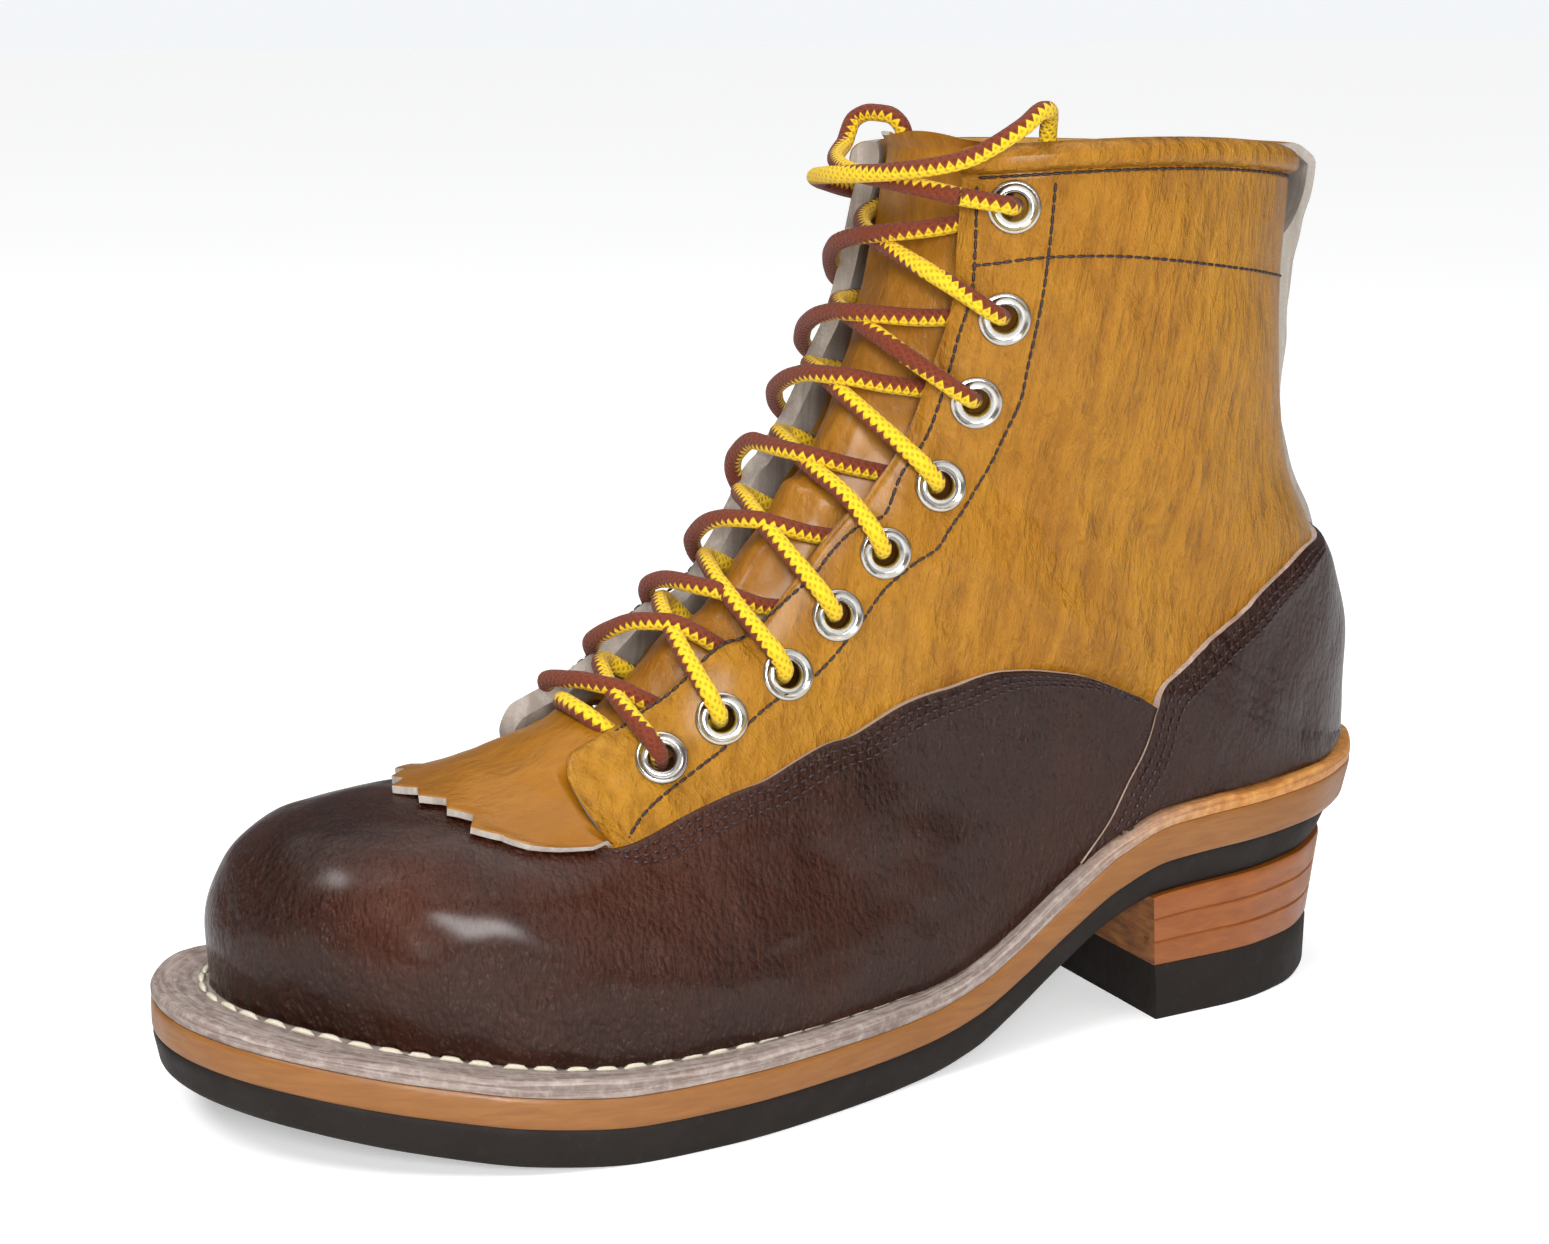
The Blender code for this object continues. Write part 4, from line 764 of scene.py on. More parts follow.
# The vamp's two places near the toe are painted warm highlights
brown = makeBrown("vamp leather", (0.015, 0.0032, 0.0014), (0.042, 0.0088, 0.0024), (
    ((0.035, -0.118, 0.062), 0.028, 0.30), ((0.045, -0.065, 0.066), 0.045, 0.18)))
counterBrown = makeBrown("counter leather", (0.016, 0.0034, 0.0016), (0.038, 0.0085, 0.0026))
rawEdge = makeRaw("raw cut edge", (0.46, 0.41, 0.36), (0.25, 0.21, 0.18), 240.0)
rawSuede = makeRaw("raw flesh side", (0.36, 0.325, 0.29), (0.19, 0.165, 0.145), 200.0)
print("leathers ready")


# Matt black rubber, a little dusty
def makeRubber(name, colour, roughness):
    material, tree, shader, coords = newMaterial(name, roughness, IOR=1.3)
    vector = coords.outputs["Object"]
    clouds = noiseNode(tree, vector, 60.0, 4.0, 0.6)
    dust = rangeNode(tree, noiseNode(tree, vector, 320.0, 4.0, 0.7), 0.55, 0.8, 0.0, 0.25)
    tree.links.new(mixColour(tree, dust, colour, (0.06, 0.045, 0.035)), shader.inputs["Base Color"])
    shine = rangeNode(tree, clouds, 0.3, 0.7, roughness - 0.08, roughness + 0.12)
    tree.links.new(shine, shader.inputs["Roughness"])
    fine = noiseNode(tree, vector, 900.0, 3.0, 0.6)
    tree.links.new(bumpNode(tree, fine, 0.08 * mm, 0.8), shader.inputs["Normal"])
    return material


# Cut edge of a thick sole leather: layers run along it, burnished, with fine specks
def makeSoleEdge(name, light, dark, layers=(1.0, 1.0, 7.0), roughness=0.42):
    material, tree, shader, coords = newMaterial(name, roughness, Coat_Weight=0.15, Coat_Roughness=0.35)
    vector = mappingNode(tree, coords.outputs["Object"], (0, 0, 0), layers)
    streaks = noiseNode(tree, vector, 110.0, 5.0, 0.62, 0.3)
    clouds = noiseNode(tree, coords.outputs["Object"], 45.0, 4.0, 0.6)
    colour = mixColour(tree, rangeNode(tree, streaks, 0.25, 0.75), dark, light)
    colour = mixColour(tree, rangeNode(tree, clouds, 0.5, 0.8, 0.0, 0.6), colour, dark)
    tree.links.new(colour, shader.inputs["Base Color"])
    shine = rangeNode(tree, clouds, 0.3, 0.7, roughness - 0.1, roughness + 0.15)
    tree.links.new(shine, shader.inputs["Roughness"])
    first = bumpNode(tree, streaks, 0.22 * mm, 0.8)
    tree.links.new(bumpNode(tree, noiseNode(tree, coords.outputs["Object"], 1300.0), 0.06 * mm, 0.7, first),
                   shader.inputs["Normal"])
    return material


# Flange: raw leather with dark streaks along the edge, tan where it runs up round the heel
def makeFlange():
    material, tree, shader, coords = newMaterial("flange leather", 0.8)
    fibres = placeGroup(tree, fibreGroup, coords.outputs["UV"], Streak=55.0, Stretch=16.0)
    fine = noiseNode(tree, coords.outputs["Object"], 420.0, 4.0, 0.7)
    streaks = rangeNode(tree, fibres.outputs["Streaks"], 0.36, 0.66)
    colour = mixColour(tree, streaks, (0.19, 0.13, 0.115), (0.36, 0.29, 0.25))
    colour = mixColour(tree, rangeNode(tree, fine, 0.4, 0.75, 0.0, 0.5), colour, (0.55, 0.49, 0.43))
    split = tree.nodes.new("ShaderNodeSeparateXYZ")
    tree.links.new(coords.outputs["Object"], split.inputs[0])
    heel = rangeNode(tree, split.outputs[1], 0.045, 0.10)
    tanned = mixColour(tree, rangeNode(tree, fine, 0.35, 0.7), (0.46, 0.17, 0.035), (0.62, 0.30, 0.075))
    tree.links.new(mixColour(tree, heel, colour, tanned), shader.inputs["Base Color"])
    tree.links.new(rangeNode(tree, split.outputs[1], 0.045, 0.10, 0.85, 0.42), shader.inputs["Roughness"])
    first = bumpNode(tree, fibres.outputs["Streaks"], 0.35 * mm, 0.8)
    tree.links.new(bumpNode(tree, fine, 0.15 * mm, 0.7, first), shader.inputs["Normal"])
    return material


# Round braid: u runs along the cord, v once round it. Strand ridges cross each other, and the two colours
# each take about half of the way round, with a zigzag border that wanders a little about the cord
def makeBraid(name, light, dark):
    material, tree, shader, coords = newMaterial(name, 0.7, Sheen_Weight=0.1, IOR=1.38)
    split = tree.nodes.new("ShaderNodeSeparateXYZ")
    tree.links.new(coords.outputs["UV"], split.inputs[0])
    u, v = split.outputs[0], split.outputs[1]
    along = mathNode(tree, "MULTIPLY", u, 1.0 / (2.0 * mm))
    waves = []
    for sign in (1.0, -1.0):
        strand = mathNode(tree, "ADD", along, mathNode(tree, "MULTIPLY", v, 6.0 * sign))
        wave = mathNode(tree, "SINE", mathNode(tree, "MULTIPLY", strand, math.pi))
        waves.append(mathNode(tree, "ABSOLUTE", wave))
    height = mathNode(tree, "MAXIMUM", waves[0], waves[1])
    zigzag = mathNode(tree, "PINGPONG", along, 0.5)
    wander = mathNode(tree, "SINE", mathNode(tree, "MULTIPLY", u, 78.0))
    phase = mathNode(tree, "ADD", v, mathNode(tree, "MULTIPLY", wander, 0.05))
    phase = mathNode(tree, "PINGPONG", mathNode(tree, "ADD", phase, 1.0), 0.5)
    phase = mathNode(tree, "ADD", phase, mathNode(tree, "MULTIPLY", zigzag, 0.26))
    mask = rangeNode(tree, phase, 0.29, 0.33)
    colour = mixColour(tree, mask, light, dark)
    # Painted shade: darker colour in the gaps between the strands
    gapShade = rangeNode(tree, height, 0.45, 0.8, 0.28, 0.0)
    colour = mixColour(tree, gapShade, colour, (dark[0] * 0.6, dark[1] * 0.6, dark[2] * 0.6))
    tree.links.new(colour, shader.inputs["Base Color"])
    tree.links.new(bumpNode(tree, height, 0.4 * mm, 1.0), shader.inputs["Normal"])
    return material


# One colour with fine mottling and fine relief
def makePlain(name, colour, roughness, metallic=0.0, bump=0.05, scale=1500.0, variation=0.25, **sockets):
    material, tree, shader, coords = newMaterial(name, roughness, metallic, **sockets)
    fine = noiseNode(tree, coords.outputs["Object"], scale, 3.0, 0.6)
    darker = tuple(c * (1 - variation) for c in colour)
    tree.links.new(mixColour(tree, fine, darker, colour), shader.inputs["Base Color"])
    tree.links.new(bumpNode(tree, fine, bump * mm, 0.7), shader.inputs["Normal"])
    return material


rubber = makeRubber("outsole rubber", (0.014, 0.010, 0.008), 0.62)
capRubber = makeRubber("heel cap rubber", (0.015, 0.011, 0.009), 0.66)
midsoleEdge = makeSoleEdge("midsole leather", (0.28, 0.108, 0.018), (0.22, 0.078, 0.010))
stackEdge = makeSoleEdge("heel stack leather", (0.31, 0.088, 0.008), (0.22, 0.054, 0.004), (1.0, 1.0, 4.0), 0.4)
flangeLeather = makeFlange()
insoleLeather = makePlain("insole leather", (0.50, 0.36, 0.21), 0.8, bump=0.2, scale=500.0)
nickel = makePlain("eyelet nickel", (0.62, 0.60, 0.56), 0.24, 1.0, 0.02, 800.0, 0.3)
darkThread = makePlain("dark thread", (0.022, 0.008, 0.010), 0.5, bump=0.1)
soleThread = makePlain("sole thread", (0.72, 0.66, 0.52), 0.6, bump=0.1)
braid = makeBraid("lace braid", (0.84, 0.54, 0.010), (0.17, 0.026, 0.004))

# The insole is the one solid that stays
for held in bpy.data.objects:
    if held.name == "insole" or held.name.endswith("/insole"):
        held.data.materials.clear()
        held.data.materials.append(insoleLeather)


# Camera, as the photo was taken: the focal length is in pixels of a picture 1549 wide
camera = {"yaw": 61.5, "pitch": 13.6, "roll": 0.60, "target": (-3.5 * mm, -7.8 * mm, 99.1 * mm),
          "distance": 642 * mm, "focal": 2790.0, "width": 1549}


# Matrix of an object by its three axes and its place
def axesMatrix(x, y, z, place):
    matrix = np.eye(4)
    matrix[:3] = np.stack([x, y, z, place], -1)
    return Matrix(matrix.tolist())


# Camera at target + back * distance, turned about its axis by roll
def placeCamera():
    yaw, pitch, roll = (math.radians(camera[key]) for key in ("yaw", "pitch", "roll"))
    back = np.array([math.sin(yaw) * math.cos(pitch), -math.cos(yaw) * math.cos(pitch), math.sin(pitch)])
    right = unit(np.cross(-back, [0.0, 0.0, 1.0]))
    up = np.cross(right, -back)
    turned = math.cos(roll) * right + math.sin(roll) * up
    high = -math.sin(roll) * right + math.cos(roll) * up
    place = np.array(camera["target"]) + back * camera["distance"]
    data = bpy.data.cameras.new("camera")
    data.sensor_width = 36.0
    data.lens = camera["focal"] / camera["width"] * 36.0
    data.clip_start = 0.01
    made = addObject("camera", data)
    made.matrix_world = axesMatrix(turned, high, back, place)
    bpy.context.scene.camera = made
    return turned, back


camRight, camBack = placeCamera()


# Soft light at target + offset along the camera's right, up and the camera's back, facing the target
def areaLight(name, offset, size, power):
    target = np.array([0.0, 0.0, 0.08])
    place = target + camRight * offset[0] + np.array([0.0, 0.0, 1.0]) * offset[1] + camBack * offset[2]
    data = bpy.data.lights.new(name, "AREA")
    data.shape = "RECTANGLE"
    data.size, data.size_y = size
    data.energy = power
    light = addObject(name, data)
    z = unit(place - target)
    x = unit(np.cross([0.0, 0.0, 1.0], z))
    light.matrix_world = axesMatrix(x, np.cross(z, x), z, place)


lights = {
    "key": ((-0.62, 0.85, 0.70), (0.40, 0.34), 6.0), "fill": ((1.1, 0.45, 0.9), (0.8, 0.8), 1.2),
    "top": ((0.2, 1.3, -0.2), (0.8, 0.6), 1.8), "flash": ((0.12, 0.14, 1.05), (0.42, 0.30), 9.5),
}
for lightName, (offset, size, power) in lights.items():
    areaLight(lightName, offset, size, power)


# Studio: a dim surround that the camera alone sees bright, a wide soft sun from above, and a floor of paper
# that glows for the camera alone
def makeSurround():
    world = bpy.data.worlds.new("studio")
    world.use_nodes = True
    backdrop = world.node_tree.nodes["Background"]
    backdrop.inputs["Color"].default_value = (0.95, 0.97, 1.0, 1.0)
    path = world.node_tree.nodes.new("ShaderNodeLightPath")
    seen = rangeNode(world.node_tree, path.outputs["Is Camera Ray"], 0.0, 1.0, 0.18, 0.95, False)
    world.node_tree.links.new(seen, backdrop.inputs["Strength"])
    bpy.context.scene.world = world
    sun = bpy.data.lights.new("overhead", "SUN")
    sun.energy, sun.angle = 1.45, math.radians(80)
    overhead = addObject("overhead", sun)
    bpy.context.scene.view_settings.view_transform = "Standard"
    mesh = bpy.data.meshes.new("floor")
    mesh.from_pydata([(-6, -6, 0), (6, -6, 0), (6, 6, 0), (-6, 6, 0)], [], [(0, 1, 2, 3)])
    paper, tree, shader, coords = newMaterial("floor paper", 0.9)
    shade = noiseNode(tree, coords.outputs["Object"], 3.0)
    tree.links.new(mixColour(tree, shade, (0.90, 0.90, 0.90), (0.92, 0.92, 0.92)), shader.inputs["Base Color"])
    shader.inputs["Emission Color"].default_value = (1.0, 1.0, 1.0, 1.0)
    glow = tree.nodes.new("ShaderNodeLightPath")
    strength = mathNode(tree, "MULTIPLY", glow.outputs["Is Camera Ray"], 0.36)
    tree.links.new(strength, shader.inputs["Emission Strength"])
    mesh.materials.append(paper)
    floor = addObject("floor", mesh)


makeSurround()
print("camera, lights and materials ready")


# Line of eyelets: rows and shares across, at shares of the way along it
def eyeletLine():
    rows = np.linspace(7.5, 16.1, 200)
    across = behindThroat(rows, 11 * mm)
    points = lastPoint(rows, across)
    walked = walkedAlong(points)
    places = np.array([0.0, 0.106, 0.224, 0.340, 0.454, 0.580, 0.715, 0.842, 1.0]) * walked[-1]
    return np.interp(places, walked, rows), np.interp(places, walked, across)


eyeletRows, eyeletAcross = eyeletLine()


# Place and outward direction on a curled surface, from small steps along row and across
def curledFrame(row, across, lift):
    place = onLast(row, across, lift, 1.0)[0]
    alongRow = onLast(row + 0.04, across, lift, 1.0)[0] - onLast(row - 0.04, across, lift, 1.0)[0]
    alongSide = onLast(row, across + 0.01, lift, 1.0)[0] - onLast(row, across - 0.01, lift, 1.0)[0]
    normal = np.cross(alongSide, alongRow)
    return place, unit(normal)


# Braided lace ends: loose from the top eyelets over the collar into the boot
# row, share across, height of the cord's middle over the last in mm, rise over the row in mm
looseEnds = {
    "lace_end_outer": np.array([
        (16.22, 0.175, 7.4, 0.0), (16.36, 0.10, 7.8, 0.0), (16.48, 0.0, 8.0, 0.0), (16.62, -0.10, 7.6, 0.0),
        (16.84, -0.19, 7.6, 0.6), (17.0, -0.215, 6.6, 4.2), (17.0, -0.215, 2.6, 6.2), (17.0, -0.205, -2.2, 6.2),
        (17.0, -0.200, -5.8, 3.6), (17.0, -0.200, -6.8, -1.0), (16.6, -0.205, -6.8, 0.0), (16.2, -0.21, -6.8, 0.0),
        (15.6, -0.22, -6.8, 0.0), (15.0, -0.23, -6.8, 0.0)]),
    "lace_end_inner": np.array([
        (16.24, -0.165, 11.5, 0.0), (16.32, -0.08, 12.1, 0.0), (16.42, 0.0, 12.4, 0.0), (16.56, 0.09, 12.1, 0.0),
        (16.76, 0.18, 11.0, 0.4), (17.0, 0.25, 8.8, 3.6), (17.0, 0.28, 4.0, 6.8), (17.0, 0.295, -1.4, 6.2),
        (17.0, 0.30, -5.0, 2.6), (17.0, 0.30, -6.0, -2.0), (16.6, 0.30, -6.4, 0.0), (16.2, 0.30, -6.4, 0.0),
        (15.6, 0.30, -6.4, 0.0), (15.0, 0.30, -6.4, 0.0)]),
}
laceDiameter = 4 * mm


# Points at (row, across, lift in mm) raised by the rise in mm
def onLastPath(stops):
    row, across, lift, rise = stops.T
    points = onLast(row, across, lift * mm)[0]
    points[:, 2] += rise * mm
    return points


# Tube of braid along a path: UV u is the length walked in metres, v the share of the way round
def braidTube(name, paths):
    around, allPoints, allQuads, allCoords, start = 16, [], [], [], 0
    for path in paths:
        rings = tubeRings(path, laceDiameter / 2, around, camBack)
        walked = walkedAlong(path)
        quads = tubeQuads(1, len(path), around)
        turn = np.arange(around + 1) / around
        coords = np.stack(np.broadcast_arrays(walked[:, None], turn[None, :-1]), -1)
        allPoints.append(rings.reshape(-1, 3))
        allQuads.append(quads + start)
        allCoords.append(coords.reshape(-1, 2))
        start += len(path) * around
    points, quads, coords = (np.concatenate(part) for part in (allPoints, allQuads, allCoords))
    piece = makePiece(name, points, quads, [braid], uv=coords, sharp=70.0)
    layer = piece.data.uv_layers[0].data
    flat = np.zeros(len(layer) * 2, np.float32)
    layer.foreach_get("uv", flat)
    sizes = np.zeros(len(piece.data.polygons), np.int32)
    piece.data.polygons.foreach_get("loop_total", sizes)
    perFace = flat.reshape(-1, 2)
    if (sizes == 4).all():
        v = perFace[:, 1].reshape(-1, 4)
        wraps = (v.max(1) - v.min(1)) > 0.5
        v[wraps] = np.where(v[wraps] < 0.5, v[wraps] + 1.0, v[wraps])
        layer.foreach_set("uv", perFace.ravel())
    return piece


cordPieces = {}
for endName, stops in looseEnds.items():
    cordPath = evenCurve(onLastPath(stops), 1.0 * mm)
    piece = braidTube(endName.replace("lace_end", "loose_lace"), [cordPath])
    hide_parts(endName)
    cordPieces[endName] = cordPath


# Sole layers: rings of plan points at several levels, closed by grids between the two sides
soleEdge = {"steps": 260, "columns": 14, "rounding": (
    # share of the height, share of the rounding
    (0.0, 1.0), (0.06, 0.35), (0.16, 0.0), (0.38, 0.0), (0.62, 0.0), (0.84, 0.0), (0.94, 0.35), (1.0, 1.0))}


# Closed ring round the sole at shares along both sides
def planRing(inset, edges):
    loop = planLoop(inset)
    outerX, outerY = planPoint(loop, edges, 1.0)
    innerX, innerY = planPoint(loop, edges[-2:0:-1], -1.0)
    return np.concatenate([outerX, innerX]), np.concatenate([outerY, innerY])


# Shares along half the sole's edge, half way between even ones and ones closer together at both ends
def edgeShares(steps):
    even = np.linspace(0.0, 1.0, steps + 1)
    return (even + (1 - np.cos(math.pi * even)) / 2) / 2


# Quads that close a cap's end row onto one point
def tipQuads(tip, row):
    k = np.arange(0, len(row) - 1, 2)
    far = np.minimum(k + 2, len(row) - 1)
    return np.stack([np.full(len(k), tip), row[k], row[k + 1], row[far]], -1)


# Stacked rings with a cap at both ends, as points, wall faces and cap faces. A cap is a grid between the
# ring's sides first and second, closed onto the point numbered end behind it, and before it onto the row
# opening, or onto point 0 without one
def cappedRings(rings, heights, first, second, end, columns, opening=None):
    count = rings.shape[1]
    points, caps, start = [rings.reshape(-1, 3)], [], len(rings) * count
    share = np.linspace(0.0, 1.0, columns + 1)[1:-1]
    for ring, height, base in ((rings[0], heights[0], 0), (rings[-1], heights[1], (len(rings) - 1) * count)):
        a, b = ring[first], ring[second]
        middle = a[:, None] + (b - a)[:, None] * share[None, :, None]
        middle[..., 2] = height(middle[..., 1])
        inner = start + numbered(middle[..., 0])
        index = np.concatenate([base + first[:, None], inner, base + second[:, None]], 1)
        if opening is not None:
            index = np.concatenate([base + opening[None], index], 0)
        parts = [np.stack([index[:-1, :-1], index[1:, :-1], index[1:, 1:], index[:-1, 1:]], -1).reshape(-1, 4)]
        if opening is None:
            parts.append(tipQuads(base, index[0]))
        parts.append(tipQuads(base + end, index[-1])[:, [0, 3, 2, 1]])
        cap = np.concatenate(parts)
        caps.append(cap if base == 0 else cap[:, ::-1])
        points.append(middle.reshape(-1, 3))
        start += inner.size
    return np.concatenate(points), stackQuads(len(rings), count), np.concatenate(caps)


# Layer of the sole: levels from the bottom up, each (height(y), inset(station)); caps follow the height
def soleLayer(name, levels, material, wobble=0.0):
    steps = soleEdge["steps"]
    edges = edgeShares(steps)
    rings = []
    for level, inset in levels:
        x, y = planRing(inset, edges)
        rings.append(np.stack([x, y, level(y)], -1))
    rings = np.array(rings)
    if wobble:
        rings[1:-1, :, 2] += wobble * softNoise(rings[1:-1], 14 * mm, 3)
    outerSide, innerSide = np.arange(1, steps), rings.shape[1] - np.arange(1, steps)
    points, wall, caps = cappedRings(rings, (levels[0][0], levels[-1][0]), outerSide, innerSide, steps,
                                     soleEdge["columns"])
    return makePiece(name, points, np.concatenate([wall, caps]), [material])


# Inset of the heel: the side's taper, growing to the undercut at the back, fading out at the waist
def heelInset(shareBack, shareSide):
    def inset(station):
        back = np.clip(1.0 - station / 0.16, 0.0, 1.0) ** 1.5
        fade = np.clip((0.42 - station) / 0.14, 0.0, 1.0)
        atSide = boot["heelSideTaper"] * shareSide
        return (atSide + (boot["heelUndercut"] * shareBack - atSide) * back) * fade
    return inset


# Level at a share of the way between two levels
def between(a, b, share):
    return lambda y: a(y) + (b(y) - a(y)) * share


# Inset at a share of the way between two insets, and a fixed distance more
def insetBetween(low, high, share, more=0.0):
    return lambda station: low(station) * (1 - share) + high(station) * share + more


# Levels from bottom to top with rounded edges
def soleLevels(bottom, top, insetLow, insetHigh, rounding):
    return [(between(bottom, top, share), insetBetween(insetLow, insetHigh, share, rounding * rounded))
            for share, rounded in soleEdge["rounding"]]


level0, level1, level2 = (lambda y, n=n: soleLevel(y, n) for n in range(3))
taperBelow, taperAbove = heelInset(0.70, 0.75), heelInset(0.46, 0.45)
outsole = soleLayer("outsole_rubber_body", soleLevels(
    level0, level1, lambda station: taperBelow(station) + boot["edgeSlope"], taperAbove, 0.6 * mm), rubber)
midsole = soleLayer("midsole_leather_body", soleLevels(
    lambda y: level1(y) + 0.1 * mm, lambda y: level2(y) - 0.05 * mm, heelInset(0.20, 0.20), heelInset(0.0, 0.0),
    0.45 * mm), midsoleEdge, wobble=0.05 * mm)
for soleLayerPiece, nodeName, slotName in ((outsole, "outsole", "outsole_rubber"),
                                           (midsole, "midsole", "midsole_leather")):
    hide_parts(nodeName)


# Flange: a band round the sole; its section is a closed profile from the outer edge in to the upper,
# where its top rises in a fillet
flange = {"fillet": 2.6 * mm, "rounding": 0.9 * mm}


# Width of the flange by station
def flangeWidth(station):
    return boot["flangeWidth"] * smooth(outline, 3, station)


# Rings at shares of the flange's width; the top is rounded outside, rises to the upper, and is a little wavy
def buildFlange():
    steps = 300
    edges = edgeShares(steps)
    topShares = np.array([0.0, 0.03, 0.08, 0.16, 0.28, 0.42, 0.56, 0.68, 0.78, 0.86, 0.93, 1.0])
    profile = []
    for share in topShares:
        rise = boot["flange"] - flange["rounding"] * (1 - min(share / 0.06, 1.0)) ** 2
        profile.append((share, rise + flange["fillet"] * max(0.0, (share - 0.80) / 0.2) ** 2))
    profile += [(1.15, boot["flange"] * 0.9), (1.15, 0.1 * mm), (0.6, 0.1 * mm), (0.2, 0.1 * mm),
                (0.015, 0.1 * mm), (-0.012, 1.0 * mm), (-0.015, 2.0 * mm)]
    rings = []
    for share, rise in profile:
        x, y = planRing(lambda station: 0.3 * mm + flangeWidth(station) * share, edges)
        rings.append(np.stack([x, y, soleLevel(y, 2) + rise], -1))
    rings = np.array(rings)
    top = slice(0, len(topShares))
    waves = softNoise(rings[top], 42 * mm, 5) * (1 - topShares[:, None]) * 0.45 * mm
    rings[top, :, 2] += waves + softNoise(rings[top], 9 * mm, 8) * 0.12 * mm
    count, size = rings.shape[1], len(rings)
    perimeter = walkedAlong(rings[0])
    down = walkedAlong(rings[:, count // 4])
    coords = np.stack(np.broadcast_arrays(perimeter[None, :], down[:, None]), -1)
    piece = makePiece("flange", rings, ringQuads(1, size, count), [flangeLeather], uv=coords, sharp=50.0)
    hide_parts("welt")


buildFlange()


# Heel: rings at levels, from the breast round the back and along the breast's straight face
def heelBlock(name, levels, materials, breastMaterial):
    side, across = 90, 40
    rings = []
    for level, inset, lean in levels:
        loop = planLoop(inset)
        breast = boot["soleLength"] / 2 - boot["heelLength"] - boot["breastLean"] * lean
        ends = []
        for sign in (1.0, -1.0):
            walked, x, y = loop[1 if sign > 0 else 0]
            begin = np.interp(breast, y, walked)
            ends.append(planPoint(loop, np.linspace(begin, 1.0, side + 1), sign))
        x = np.concatenate([ends[0][0], ends[1][0][-2::-1]])
        y = np.concatenate([ends[0][1], ends[1][1][-2::-1]])
        share = np.linspace(0.0, 1.0, across + 1)[1:-1]
        x = np.concatenate([x, x[-1] + (x[0] - x[-1]) * share])
        y = np.concatenate([y, y[-1] + (y[0] - y[-1]) * share])
        rings.append(np.stack([x, y, level(y)], -1))
    rings = np.array(rings)
    breastPart = slice(2 * side + 1, None)
    face = rings[:, breastPart]
    rough = softNoise(face, 5 * mm, 2) * 0.35 * mm + softNoise(face, 2.2 * mm, 3) * 0.2 * mm
    rings[1:-1, breastPart, 1] += rough[1:-1]
    count = rings.shape[1]
    first, second = np.arange(1, side), 2 * side - np.arange(1, side)
    opening = np.concatenate([[0], np.arange(count - 1, 2 * side, -1), [2 * side]])
    points, wall, caps = cappedRings(rings, (levels[0][0], levels[-1][0]), first, second, side, across, opening)
    kinds = np.tile((np.arange(count) >= 2 * side).astype(int) * breastMaterial, len(rings) - 1)
    kinds = np.concatenate([kinds, np.zeros(len(caps), int)])
    return makePiece(name, points, np.concatenate([wall, caps]), materials, kinds, sharp=32.0)


# Cap and stack; grooves between the stack's lifts are narrow insets
def buildHeel():
    cap, stack = [], []
    capTop = boot["heelCap"] - 0.05 * mm
    full = heelInset(1.0, 1.0)
    for share, more in ((0.0, 0.5 * mm), (0.05, 0.1 * mm), (0.12, 0.0), (0.4, 0.0), (0.7, 0.0), (0.93, 0.0),
                        (1.0, 0.25 * mm)):
        inset = insetBetween(heelInset(1.02, 1.0), full, share, more)
        cap.append((lambda y, s=share: 0.0 * y + capTop * s, inset, 0.4 * share))
    lifts = 3
    shares = [0.0, 0.03]
    for k in range(1, lifts):
        shares += [k / lifts - 0.022, k / lifts, k / lifts + 0.022]
    shares += [0.97, 1.0]
    mids = sorted(shares + [1 / 6, 0.5, 5 / 6])
    for share in mids:
        groove = 0.35 * mm if any(abs(share - k / lifts) < 1e-6 for k in range(1, lifts)) else 0.0
        ends = 0.3 * mm if share in (0.0, 1.0) else 0.0
        level = lambda y, s=share: boot["heelCap"] + 0.05 * mm + (soleLevel(y, 0) - 0.1 * mm - boot["heelCap"]) * s
        inset = insetBetween(full, heelInset(0.72, 0.80), share, groove + ends)
        stack.append((level, inset, 0.45 + 0.55 * share))
    capPiece = heelBlock("heel_cap_rubber", cap, [capRubber], 0)
    stackPiece = heelBlock("heel_stack_leather", stack, [stackEdge, breastLeather], 1)
    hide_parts("heel_cap")
    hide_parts("heel_stack")


breastLeather = makeSoleEdge("rough breast leather", (0.36, 0.14, 0.035), (0.13, 0.04, 0.012),
                             (1.0, 1.0, 5.0), 0.75)
buildHeel()
print("sole ready")


# Quarters: one sheet each side, from the throat's edge to the back or the feather line. The inner one's
# throat edge is doubled; at the lowest eyelet the throat's edge rises in a tab over the vamp
quarter = {"wall": 2.6 * mm, "edgeDrop": 0.6 * mm, "holeRadius": 4.0 * mm, "bareWidth": 6.5 * mm,
           "doubled": 2.6 * mm, "tab": 3.2 * mm, "roll": np.array([
    # mm below the collar's top, share of the roll outside, share of it inside
    [0.0, -0.50, 0.85], [0.5, 0.20, 0.60], [1.5, 0.80, 0.30], [2.8, 1.10, 0.10], [4.2, 1.12, 0.00],
    [5.2, 0.92, 0.00], [5.8, 0.45, 0.00], [6.3, -0.14, 0.00], [7.4, 0.00, 0.00]]), "rollSize": 2.1 * mm}
overQuarter = 2.62 * mm  # height over the last of what lies on a quarter


# Height of one row under the collar, at a share across
def collarSpacing(across):
    return np.linalg.norm(lastPoint(17.0, across) - lastPoint(16.0, across), axis=-1)


# Rows of the quarters, closer together at the waist and under the collar
def quarterRows():
    return np.concatenate([np.arange(5.7, 9.0, 0.055), np.arange(9.0, 12.5, 0.034), np.arange(12.5, 16.3, 0.055),
                           np.linspace(16.3, 17.0, 50)])


